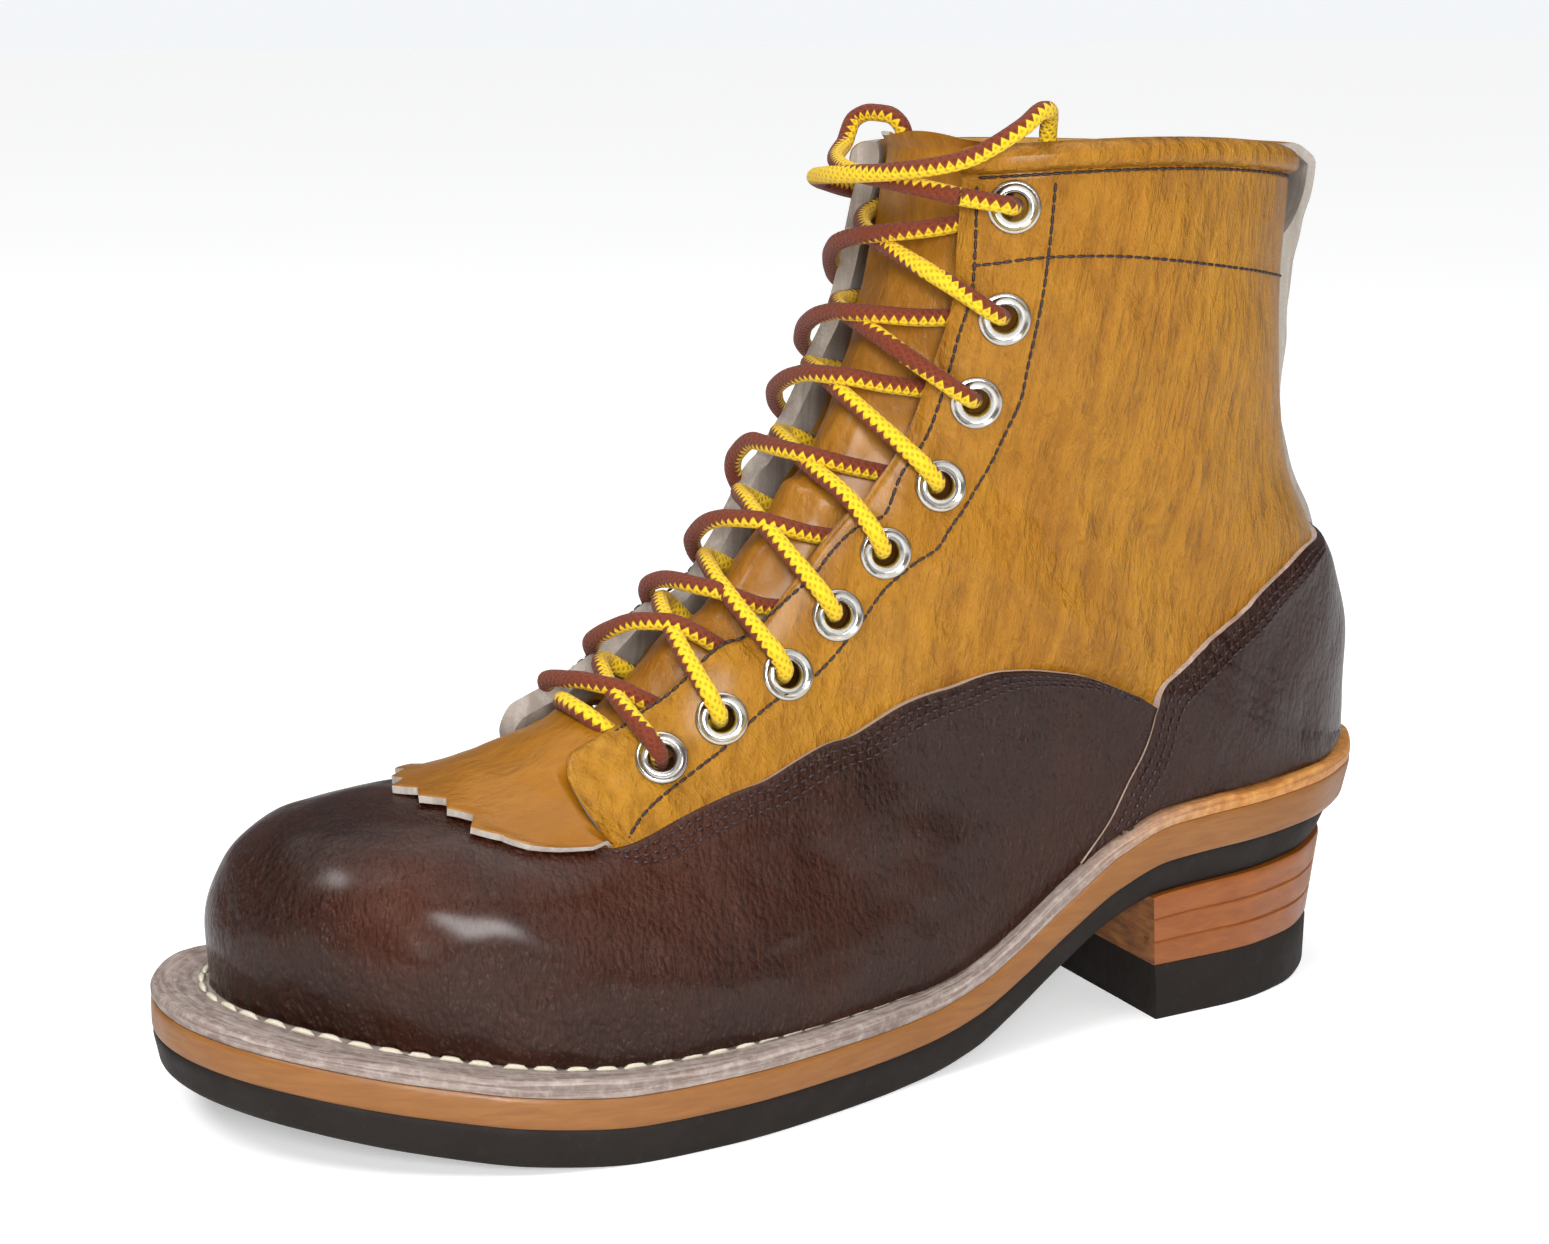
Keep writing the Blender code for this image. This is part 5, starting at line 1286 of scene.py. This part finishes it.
# Soft troughs and ridges of worn leather: (row, across) line, half width and depth in mm, below zero outwards
wrinkles = [
    ([(13.3, 0.30), (12.7, 0.42), (12.2, 0.56)], 5.0, 1.1), ([(12.6, 0.26), (12.0, 0.38), (11.5, 0.48)], 4.0, 0.9),
    ([(12.95, 0.27), (12.35, 0.40), (11.85, 0.52)], 4.0, -0.8),
    ([(14.4, 0.55), (13.9, 0.70), (13.6, 0.88)], 7.0, 0.9), ([(15.3, 0.42), (14.6, 0.50), (13.9, 0.52)], 6.0, 0.6),
    ([(15.6, 0.60), (15.0, 0.72), (14.5, 0.80)], 7.0, -0.6),
    ([(14.2, -0.35), (13.6, -0.50), (13.2, -0.7)], 7.0, 0.9),
    ([(12.6, -0.30), (12.0, -0.45), (11.6, -0.6)], 5.0, 0.9),
    ([(11.2, 0.42), (10.6, 0.44), (9.9, 0.42)], 4.0, 0.5), ([(9.5, 0.40), (9.2, 0.45)], 4.0, 0.4),
]


# Depth of all wrinkles at points of the surface: a bell over the distance to each line, fading at its ends
def wrinkleLift(points, lines):
    lift = np.zeros(points.shape[:-1])
    flat = points.reshape(-1, 3)
    for stops, width, depth in lines:
        row, across = np.array(stops).T
        at = np.linspace(0, len(row) - 1, 25)
        line = lastPoint(np.interp(at, np.arange(len(row)), row), np.interp(at, np.arange(len(row)), across))
        away = np.linalg.norm(flat[:, None] - line[None], axis=-1)
        nearest = away.argmin(1)
        ends = np.sin(math.pi * np.clip(nearest / 24.0, 0.04, 0.96)) ** 0.7
        bell = np.exp(-0.5 * (away.min(1) / (width * mm)) ** 2)
        lift -= (bell * ends * depth * mm).reshape(lift.shape)
    return lift


# Faces of the lining side near the throat's edge show the flesh side of the leather
def bareEdge(piece, band):
    mesh = piece.data
    centres, kinds = np.zeros(len(mesh.polygons) * 3), np.zeros(len(mesh.polygons), np.int32)
    mesh.polygons.foreach_get("center", centres)
    mesh.polygons.foreach_get("material_index", kinds)
    lining = np.flatnonzero(kinds == 2)
    centres = centres.reshape(-1, 3)[lining]
    edge = band[:, -1]
    nearest = np.linalg.norm(centres[:, None] - edge[None, ::2], axis=-1).min(1)
    kinds[lining[nearest < quarter["bareWidth"]]] = 3
    mesh.polygons.foreach_set("material_index", kinds)
    mesh.update()


# Creases and softness of the quarters over the last: none at the throat's edge and at the collar
def quarterForm(row, across):
    base = lastPoint(row, across)
    share = (np.abs(across) - throat(row)) / (1.0 - throat(row))
    form = wrinkleLift(base, wrinkles) + softNoise(base, 38 * mm, 4) * 0.22 * mm
    return form * np.clip(share / 0.15, 0, 1) * np.clip((17.0 - row) / 0.5, 0, 1)


# Quarter = last + wall + roll + form, its throat's edge rounded by the drop, with holes for the eyelets
def buildQuarter(side, name):
    rows = quarterRows()
    share = np.concatenate([[0.0, 0.004, 0.012, 0.022], np.linspace(0.034, 1.0, 82)])
    edge = throat(rows)[:, None]
    across = edge + (1.0 - edge) * share[None, :]
    row = np.repeat(rows[:, None], len(share), axis=1)
    if side < 0:
        across, share = -across[:, ::-1], share[::-1]
    form = quarterForm(row, across)
    below = (17.0 - row) * collarSpacing(across) / mm
    outerRoll = quarter["rollSize"] * smooth(quarter["roll"], 1, below)
    innerRoll = quarter["rollSize"] * smooth(quarter["roll"], 2, below)
    tab = quarter["tab"] * np.clip((row - 5.98) / 0.15, 0, 1) * np.clip((7.5 - row) / 0.6, 0, 1)
    tab = tab * np.clip(1 - share / 0.16, 0, 1)[None, :]
    outerRoll, innerRoll = outerRoll + tab, innerRoll + tab
    drop = quarter["edgeDrop"] * np.clip(1 - share / 0.014, 0, 1)[None, :] ** 2
    outer, _ = onLast(row, across, quarter["wall"] + outerRoll + form - drop, 1.0)
    doubled = (side < 0) * quarter["doubled"] * np.clip(1 - share / 0.10, 0, 1)[None, :] ** 0.6
    inner, _ = onLast(row, across, innerRoll + form + drop * 0.6 - doubled, 1.0)
    place, _ = curledFrame(eyeletRows, side * eyeletAcross, 0.0)
    near = np.linalg.norm(inner[:, :, None] - place[None, None], axis=-1).min(-1)
    index = closeUp(np.where(near < quarter["holeRadius"], -1, 0))
    piece = leatherSolid(name, outer, inner, index, [tan, rawEdge, tanFlap, rawSuede], innerMaterial=2)
    if side < 0:
        bareEdge(piece, inner[:, -14:])
    return piece


quarterOuter = buildQuarter(1.0, "quarter_outer")
buildQuarter(-1.0, "quarter_inner")
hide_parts("upper")
print("quarters ready")


# Vamp: over the toe and along both sides; under the kiltie it fills the toe down to the lining
vamp = {"lift": 4.9 * mm, "edgeDrop": 0.7 * mm}
vampWrinkles = [
    ([(7.6, 0.50), (6.9, 0.62), (6.3, 0.78)], 5.0, 1.0), ([(8.3, 0.54), (7.6, 0.68), (7.0, 0.84)], 5.0, 0.7),
    ([(7.2, 0.52), (6.5, 0.66), (6.0, 0.80)], 5.0, -0.7), ([(9.6, 0.60), (9.2, 0.75), (8.9, 0.9)], 6.0, 0.6),
    ([(7.6, -0.50), (6.9, -0.62), (6.3, -0.78)], 5.0, 1.0), ([(8.3, -0.54), (7.6, -0.68)], 5.0, 0.7),
    ([(4.6, 0.50), (4.2, 0.62), (3.9, 0.75)], 6.0, 0.5),
]


# Creases and softness of the vamp over the last
def vampForm(row, across):
    base = lastPoint(row, across)
    form = wrinkleLift(base, vampWrinkles) + softNoise(base, 30 * mm, 14) * 0.3 * mm
    return form + softNoise(base, 12 * mm, 15) * 0.10 * mm


# Vamp = last + lift + form; behind row 5.62 only its two sides go on, over the quarters
def buildVamp():
    rows = np.concatenate([np.linspace(0.0, 0.5, 8)[:-1], np.arange(0.5, 6.0, 0.06),
                           np.arange(6.0, 9.0, 0.06), np.arange(9.0, 11.05, 0.04), [11.06]])
    top = smooth(vampTop, 1, rows)
    bottom = np.where(rows <= counterFront[0, 0], 1.0, smooth(counterFront, 1, rows) + 0.012)
    side = np.concatenate([[0.0, 0.006, 0.016, 0.03], np.linspace(0.045, 1.0, 62)])
    middle = np.linspace(-1.0, 1.0, 52)[1:-1]
    right = top[:, None] + (bottom - top)[:, None] * side[None, :]
    across = np.concatenate([-right[:, ::-1], top[:, None] * middle[None, :], right], axis=1)
    row = np.repeat(rows[:, None], across.shape[1], axis=1)
    fromEdge = np.concatenate([side[::-1], 0 * middle, side])[None, :]
    upperRows = np.clip((row - 5.55) / 0.1, 0.0, 1.0)
    form = vampForm(row, across)
    drop = vamp["edgeDrop"] * np.clip(1 - fromEdge / 0.02, 0, 1) ** 2 * upperRows
    outer, _ = onLast(row, across, vamp["lift"] + form - drop)
    inner, _ = onLast(row, across, np.where(row < 5.7, 0.0, np.where(row < 6.0, 2.5 * mm, overQuarter)))
    index = numbered(row)
    first = len(side)
    index[np.ix_(rows > 5.62, np.arange(first, first + len(middle)))] = -1
    piece = leatherSolid("vamp_panel", outer, inner, closeUp(index), [brown, vampEdge, rawSuede],
                         innerMaterial=2)
    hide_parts("vamp")


vampEdge = makePlain("vamp cut edge", (0.46, 0.33, 0.25), 0.8, bump=0.1)
buildVamp()


# Counter: round the heel, over the vamp's back ends, its front and top edge raw and skived thinner
counter = {"lift": 6.3 * mm, "skive": 2.1 * mm, "skiveWidth": 7 * mm}


# The counter's softness, and how far it is skived towards its front and top edge
def counterForm(row, across):
    front = smooth(counterFront, 1, row)
    perShare = np.linalg.norm(lastPoint(row, front + 0.02) - lastPoint(row, front), axis=-1) / 0.02
    away = np.clip(np.minimum((np.abs(across) - front) * perShare, (13.56 - row) * 20 * mm), 0.0, None)
    skive = counter["skive"] * np.clip((row - 10.9) / 0.5, 0.42, 1.0)
    return (softNoise(lastPoint(row, across), 26 * mm, 24) * 0.3 * mm
            - skive * np.clip(1 - away / counter["skiveWidth"], 0, 1) ** 1.6)


# Counter = last + lift + form on both sides, joined down the middle of the back
def buildCounter():
    rows = np.concatenate([np.arange(9.62, 12.0, 0.032), np.arange(12.0, 13.56, 0.04)])
    share = np.concatenate([[0.0, 0.012, 0.03, 0.05], np.linspace(0.075, 1.0, 50)])
    front = smooth(counterFront, 1, rows)[:, None]
    right = front + (1.0 - front) * share[None, :]
    across = np.concatenate([right, -right[:, ::-1]], axis=1)
    row = np.repeat(rows[:, None], across.shape[1], axis=1)
    n = len(share)
    lifts = (counter["lift"] + counterForm(row, across), overQuarter)
    grids = [onLast(row, across, lift)[0] for lift in lifts]
    index = numbered(row)
    ring = rows >= 12.0 - 1e-6
    for grid in grids:
        line = (grid[ring, n - 1] + grid[ring, n]) / 2
        grid[ring, n - 1] = line
        grid[ring, n] = line
    index[ring, n] = index[ring, n - 1]
    piece = leatherSolid("counter_panel", grids[0], grids[1], index, [counterBrown, counterEdge], skip=n - 1)
    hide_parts("counter")


counterEdge = makeRaw("counter cut edge", (0.55, 0.42, 0.34), (0.30, 0.19, 0.14), 300.0)
buildCounter()


# Tongue: inside the throat, under both flaps, its top standing over the collar with a raw edge
tongue = {"lift": -3.6 * mm, "thick": 1.9 * mm, "lap": 11 * mm, "rise": 3.2 * mm}


# Tongue = last + lift + lengthwise folds; its top goes on above the collar in a wavy edge
def buildTongue():
    rows = np.concatenate([np.arange(5.8, 16.95, 0.055), [17.0]])
    share = np.linspace(-1.0, 1.0, 56)
    half = behindThroat(np.maximum(rows, 6.9), tongue["lap"])
    across = half[:, None] * share[None, :]
    row = np.repeat(rows[:, None], len(share), axis=1)
    base = lastPoint(row, across)
    folds = 0.45 * mm * np.sin(share * 7.5)[None, :] * np.clip((row - 7) / 3, 0, 1)
    folds = folds + softNoise(base, 16 * mm, 33) * 0.4 * mm
    edgeWave = 1.15 - share**2 + 0.25 * np.sin(share * 6.0)
    grids = []
    for lift in (tongue["lift"] + folds, tongue["lift"] + folds - tongue["thick"]):
        grid, _ = onLast(row, across, lift)
        tops = [grid]
        for k in range(1, 6):
            top = grid[-1] + np.array([0.0, 0.0, 1.0]) * (tongue["rise"] * k / 5 * edgeWave)[:, None]
            top[:, 1] -= 0.35 * mm * k
            tops.append(top[None])
        grids.append(np.concatenate(tops, axis=0))
    piece = leatherSolid("tongue_panel", grids[0], grids[1], numbered(grids[0][..., 0]),
                         [tongueTan, rawEdge, tanFlap], innerMaterial=2)
    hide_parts("tongue")


buildTongue()


# Kiltie: out of the throat onto the vamp, its front edge cut in teeth
kiltie = {"teeth": 9, "tooth": 3.2 * mm, "thick": 2.1 * mm, "underTab": 0.9 * mm, "side": np.array([
    [4.60, 0.392], [5.50, 0.398], [5.80, 0.392], [6.05, 0.386], [6.30, 0.330], [6.60, 0.250], [6.90, 0.205],
    [7.50, 0.195]]),
    "front": np.array([[0.00, 4.84], [0.30, 4.95], [0.50, 4.90], [0.75, 4.68], [0.90, 5.02], [1.00, 5.50]]),
    "climb": np.array([[4.50, 1.00], [5.75, 1.00], [6.20, 0.86], [6.70, 0.50], [7.15, 0.14], [7.60, 0.00]])}


# Kiltie = last + climb from inside the throat onto the vamp; the front edge is a saw of teeth
def buildKiltie():
    perTooth = 6
    share = np.linspace(-1.0, 1.0, 2 * kiltie["teeth"] * perTooth + 1)
    rowLength = np.linalg.norm(ridgePoint(np.array(4.95)) - ridgePoint(np.array(3.95)))
    saw = 1.0 - np.abs(np.arange(len(share)) % (2 * perTooth) / perTooth - 1.0)
    front = smooth(kiltie["front"], 1, np.abs(share)) - saw * kiltie["tooth"] / rowLength
    along = np.concatenate([[0.0, 0.008, 0.02, 0.04], np.linspace(0.07, 1.0, 60)])
    row = front[None, :] + (7.5 - front[None, :]) * along[:, None]
    across = smooth(kiltie["side"], 1, row) * share[None, :]
    climb = smooth(kiltie["climb"], 1, row)
    base = lastPoint(row, across)
    form = softNoise(base, 18 * mm, 43) * 0.35 * mm
    edgeLift = 0.5 * mm + 1.4 * mm * np.clip(-share - 0.3, 0, 1)[None, :]
    edgeLift = np.clip(1 - along / 0.12, 0, 1)[:, None] * edgeLift
    low = -0.7 * mm + climb * (5.0 * mm + 0.75 * mm) + form + edgeLift
    under = np.clip((np.abs(across) - throat(np.maximum(row, 6.0)) + 0.045) / 0.06, 0, 1)
    under = under * np.clip((row - 5.75) / 0.25, 0, 1)
    low = low + (kiltie["underTab"] - low) * ease(under) * (low > 0)
    drop = 0.35 * mm * np.clip(1 - along / 0.015, 0, 1)[:, None]
    outer, _ = onLast(row, across, low + kiltie["thick"] - drop)
    inner, _ = onLast(row, across, low)
    piece = leatherSolid("kiltie_panel", outer, inner, numbered(row), [kiltieTan, kiltieEdge], sharp=30.0)
    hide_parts("kiltie")


kiltieEdge = makeRaw("kiltie cut edge", (0.62, 0.57, 0.50), (0.40, 0.34, 0.30), 300.0)
buildKiltie()
print("leather pieces ready")


# Backstay: up the back, over the collar as a pull loop and down inside. Level 0 lies on the shaft, 1 stands
# off it by the loop's stand, and -1 lies on the inside
backstay = {"thick": 2.4 * mm, "width": 21 * mm, "stand": 6.4 * mm, "loopThick": 8.0 * mm, "path": np.array([
    # row, rise in mm, level
    [13.50, 0.0, 0.00], [14.30, 0.0, 0.00], [14.85, 0.0, 0.00], [15.40, 0.0, 0.00], [15.80, 0.0, 0.12],
    [16.20, 0.0, 0.62], [16.60, 0.0, 1.05], [17.00, -3.4, 1.10], [17.00, -1.4, 0.80], [17.00, 0.5, 0.30],
    [17.00, 0.4, -0.70], [17.00, -0.6, -0.97], [17.00, -2.5, -1.00], [16.50, 0.0, -1.00], [16.00, 0.0, -1.00]])}


# Strip = path through its stops at each offset across, thicker in the loop
def buildBackstay():
    outside = 2.7 * mm + backstay["thick"] / 2
    inside = -0.2 * mm - backstay["thick"] / 2
    rows, rise, level = backstay["path"].T
    standOff = outside + np.where(level > 0, backstay["stand"], outside - inside) * level
    half = 0.5 * backstay["width"] / np.linalg.norm(lastPoint(16.0, 1.0) - lastPoint(16.0, 0.98)) * 0.02
    offsets = np.linspace(-half, half, 19)
    low, high = [], []
    for offset in offsets:
        across = np.full_like(rows, 1.0 - offset if offset >= 0 else -1.0 - offset)
        base, normal = onLast(rows, across, 0.0)
        normal[:, 2] *= np.clip(15.8 - rows, 0.0, 1.0)
        normal = unit(normal)
        middle = base + normal * standOff[:, None]
        middle[:, 2] += rise * mm
        line = evenCurve(middle, 0.9 * mm)
        at = np.linspace(0, len(line) - 1, 130)
        line = sampled(at, np.arange(len(line)), line)
        stop = at / at[-1] * (len(rows) - 1)
        facing = sampled(stop, np.arange(len(rows)), normal)
        tangent = unit(np.gradient(line, axis=0))
        out = unit(np.cross([1.0, 0.0, 0.0], tangent))
        out *= np.sign((out[:1] * facing[:1]).sum(-1, keepdims=True))
        soft = 0.25 * mm * softNoise(line, 14 * mm, 52)[:, None]
        double = np.clip((stop - 4.0) / 1.6, 0, 1) * np.clip((8.9 - stop) / 1.6, 0, 1)
        double = ease(double)[:, None]
        thick = backstay["thick"] + (backstay["loopThick"] - backstay["thick"]) * double
        high.append(line + out * (thick / 2 + soft))
        low.append(line - out * (thick / 2 - soft))
    outer, inner = np.stack(high, 1), np.stack(low, 1)
    piece = leatherSolid("backstay_strip", outer, inner, numbered(outer[..., 0]),
                         [tan, backstayLitFlesh, backstayLitFlesh], innerMaterial=2)
    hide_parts("backstay")


# Flesh side of the backstay, paler than rawSuede: the extra paleness is painted light, a lit copy that keeps the
# loop's shaded faces bright
backstayLitFlesh = makeRaw("backstay flesh side", (0.44, 0.40, 0.35), (0.26, 0.23, 0.20), 300.0)
buildBackstay()


# Eyelets: a closed profile of a rolled ring outside, a barrel through the leather and a rim inside
eyelet = {"profile": np.array([
    (2.95, 0.0), (3.0, 0.45), (3.3, 0.72), (3.65, 0.55), (4.3, 0.36), (4.75, 0.62), (5.2, 1.05), (5.6, 0.98),
    (5.85, 0.55), (5.9, -0.05), (5.4, -0.15), (3.4, -0.15), (3.4, -2.5), (4.5, -2.65), (4.6, -2.95), (4.0, -3.3),
    (3.2, -3.25), (2.95, -2.6)]) * mm, "steps": 40}


# Eyelets = profile (radius, height) turned about the outward direction of the curled surface
def buildEyelets():
    places, directions = [], []
    for side in (1.0, -1.0):
        place, direction = curledFrame(eyeletRows, side * eyeletAcross, quarter["wall"])
        places.append(place)
        directions.append(direction)
    place, up = np.concatenate(places), np.concatenate(directions)
    side = unit(np.cross(up, [0.0, 0.0, 1.0]))
    other = np.cross(up, side)
    turn = np.linspace(0, 2 * math.pi, eyelet["steps"], endpoint=False)
    ring = side[:, None] * np.cos(turn)[None, :, None] + other[:, None] * np.sin(turn)[None, :, None]
    radius, height = eyelet["profile"].T
    points = place[:, None, None] + radius[None, :, None, None] * ring[:, None]
    points = points + height[None, :, None, None] * up[:, None, None]
    quads = ringQuads(len(place), len(radius), eyelet["steps"])
    piece = makePiece("eyelets", points, quads, [nickel], sharp=50.0)
    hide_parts(*["eyelet_%s_%d" % (mark, k) for mark in ("outer", "inner") for k in range(1, 10)])


buildEyelets()
print("eyelets ready")


# Lace: from each eyelet over its own flap, across the tongue and under the other flap's edge to the next
lacing = {"crossing": np.array([
    # share of the way, lift of a strand on top, lift of a strand beneath, set back along the rows
    [0.000, -2.4, -2.4, 0.0], [0.006, 0.6, 0.6, 0.0], [0.030, 4.0, 4.2, 0.1], [0.075, 5.2, 5.9, 0.5],
    [0.130, 4.3, 5.4, 0.9], [0.200, 3.3, 4.8, 1.0], [0.270, 3.3, 3.9, 1.0], [0.400, 4.2, 1.8, 0.8],
    [0.500, 4.4, 0.8, 0.65], [0.620, 3.4, -0.4, 0.5], [0.730, 0.9, -1.5, 0.45], [0.800, -1.3, -2.2, 0.4],
    [0.880, -2.6, -2.8, 0.25], [0.950, -3.0, -3.0, 0.1], [0.990, -2.9, -2.9, 0.0]]),
    "setBack": (0.30, 0.37, 0.50, 0.30, 0.20, 0.0, 0.0, 0.0),
    "bar": np.array([
    [0.010, -2.9], [0.080, -3.0], [0.160, -2.2], [0.250, 0.6], [0.380, 3.4], [0.500, 3.6], [0.600, 2.4],
    [0.700, -0.6], [0.780, -2.8], [0.860, -4.0], [0.930, -4.0], [0.990, -3.0]]),
    # row, share across and height in mm of each strand's last point before its loose end
    "lead": {"lace_end_outer": (16.14, 0.235, 5.4), "lace_end_inner": (16.12, -0.235, 6.4)}}


# Curl under a lace point: the flap's own curl, fading to nothing at the middle of the throat
def laceCurl(row, across):
    edge = throat(row)
    inward = np.clip(np.abs(across) / edge, 0.0, 1.0)
    return np.where(across < 0, curlLift(row, -np.maximum(np.abs(across), edge)) * ease(inward), 0.0)


# Points of the lace's middle over the curled surface
def lacePoints(row, across, lift):
    return onLast(row, across, lift * mm + laceCurl(row, across))[0]


# One lace: at each crossing a share of the way between eyelets, bent and set back along the rows
def strand(side):
    rows, across, lifts = [], [], []
    for k in range(8):
        fromSide = side * (-1) ** k
        table = lacing["crossing"]
        share, lift = table[:, 0], table[:, 1 if fromSide < 0 else 2]
        a, b = fromSide * eyeletAcross[k], -fromSide * eyeletAcross[k + 1]
        bend = share + 0.10 * np.sin(2 * math.pi * share) / (2 * math.pi)
        back = table[:, 3] * lacing["setBack"][k] * (fromSide < 0)
        rows.append(eyeletRows[k] + (eyeletRows[k + 1] - eyeletRows[k]) * bend - back)
        across.append(a + (b - a) * share)
        lifts.append(lift)
    rows.append(np.array([eyeletRows[8]] * 2))
    across.append(np.array([side * eyeletAcross[8]] * 2))
    lifts.append(np.array([-2.4, 0.8]))
    return np.concatenate(rows), np.concatenate(across), np.concatenate(lifts)


# Both strands, from the bottom bar to the loose ends
def buildLace():
    paths = []
    for side, endName in ((1.0, "lace_end_outer"), (-1.0, "lace_end_inner")):
        lead = lacing["lead"][endName]
        row, across, lift = strand(side)
        points = lacePoints(row, across, lift)
        leadPoint = onLast(np.array([lead[0]]), np.array([lead[1]]), lead[2] * mm)[0]
        points = np.concatenate([points, leadPoint, cordPieces[endName][:1]])
        paths.append(evenCurve(points, 0.9 * mm))
    share, lift = lacing["bar"].T
    row = np.full_like(share, eyeletRows[0])
    row = row - 0.12 * np.sin(math.pi * share)
    bar = onLast(row, eyeletAcross[0] * (1 - 2 * share), lift * mm)[0]
    paths.append(evenCurve(bar, 0.9 * mm))
    piece = braidTube("lacing", paths)
    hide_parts("lace")


buildLace()
print("lace ready")


# Line of a seam through (row, across) stops at a lift in mm over the last and a panel's form
def seamLine(stops, lift, curl=0.0, side=1.0, form=None):
    row, across = np.array(stops, float).T
    at = np.linspace(0, len(row) - 1, 40 * len(row))
    table = np.stack([np.arange(len(row)), row, across], -1)
    r, u = smooth(table, 1, at), smooth(table, 2, at)
    raised = lift * mm + (0.0 if form is None else form(r, side * u))
    return onLast(r, side * u, raised, curl)


eyestayBack = [
    (16.46, .308), (15.40, .312), (14.50, .311), (13.60, .303), (12.74, .286), (12.16, .282), (11.60, .296),
    (11.10, .326), (10.50, .352), (9.90, .358), (9.20, .352), (8.40, .352), (7.60, .358), (6.80, .368),
    (6.14, .398)]
eyestayFront = [
    (16.40, .190), (15.15, .205), (14.60, .210), (13.90, .205), (12.85, .200), (11.85, .200), (10.95, .240),
    (10.20, .240), (9.40, .210), (8.45, .200), (7.80, .180), (7.20, .175), (6.80, .230), (6.14, .398)]
bandLine = [(15.12, .200), (15.45, .320), (15.60, .445), (15.66, .60), (15.70, .760), (15.72, .92)]
collarLine = [(17 - 6.9 * mm / collarSpacing(u), u) for u in (.19, .30, .445, .60, .76, .90)]

# Stitches are (pitch in mm, share of it that is thread), with a width in mm
seams = {
    "tanLift": 2.58, "tanStitch": (2.3, 1.10),
    "tan": [(eyestayBack, 0.75), (eyestayFront, 0.75), (bandLine, 0.7), (collarLine, 0.7)],
    "brownStitch": (2.2, 0.86), "brownWidth": 0.6,
    # edge, distances behind it in mm, first and last row, lift in mm, form of the panel
    "brown": [(vampTop, (2.2, 4.4, 6.6), 5.75, 11.0, 4.95, vampForm),
              (counterFront, (2.4, 4.6, 6.8), 9.9, 13.3, 6.35, counterForm)],
    "soleStitch": (6.5, 0.84), "soleWidth": 1.5, "soleAcross": 0.62, "soleEnd": 0.97,
}


# Edge line moved across by a distance in mm
def offsetAcross(table, shift, first, last, count=40):
    rows = np.linspace(first, last, count)
    here = smooth(table, 1, rows)
    nearby = np.linalg.norm(lastPoint(rows, here + 0.02) - lastPoint(rows, here), axis=-1)
    return list(zip(rows, here + shift * mm * 0.02 / nearby))


# All seams: on the tan leather, on the brown leather and round the flange
def buildSeams():
    made = []
    pitch, share = seams["tanStitch"]
    for side in (1.0, -1.0):
        for seed, (stops, width) in enumerate(seams["tan"]):
            points, normals = seamLine(stops, seams["tanLift"], 1.0, side, quarterForm)
            made.append(stitchRow(points, normals, pitch * mm, share, width * mm, seed))
    addStitches("tan_stitches", made, darkThread)
    made = []
    pitch, share = seams["brownStitch"]
    for side in (1.0, -1.0):
        for edge, shifts, first, last, lift, form in seams["brown"]:
            for shift in shifts:
                points, normals = seamLine(offsetAcross(edge, shift, first, last), lift, 0.0, side, form)
                made.append(stitchRow(points, normals, pitch * mm, share, seams["brownWidth"] * mm,
                                      int(shift * 10)))
    addStitches("brown_stitches", made, brownThread)
    edges = edgeShares(500)
    edges = edges[edges < seams["soleEnd"]]
    x, y = planRing(lambda station: flangeWidth(station) * seams["soleAcross"], edges)
    made = []
    pitch, share = seams["soleStitch"]
    for part in (slice(0, len(edges)), slice(len(edges), None)):
        line = np.stack([x[part], y[part], soleLevel(y[part], 3) + 0.12 * mm], -1)
        normal = np.zeros_like(line)
        normal[:, 2] = 1.0
        made.append(stitchRow(line, normal, pitch * mm, share, seams["soleWidth"] * mm, 9))
    addStitches("sole_stitches", made, soleThread)


brownThread = makePlain("brown thread", (0.030, 0.011, 0.011), 0.28, bump=0.1)
buildSeams()
print("stitches ready")
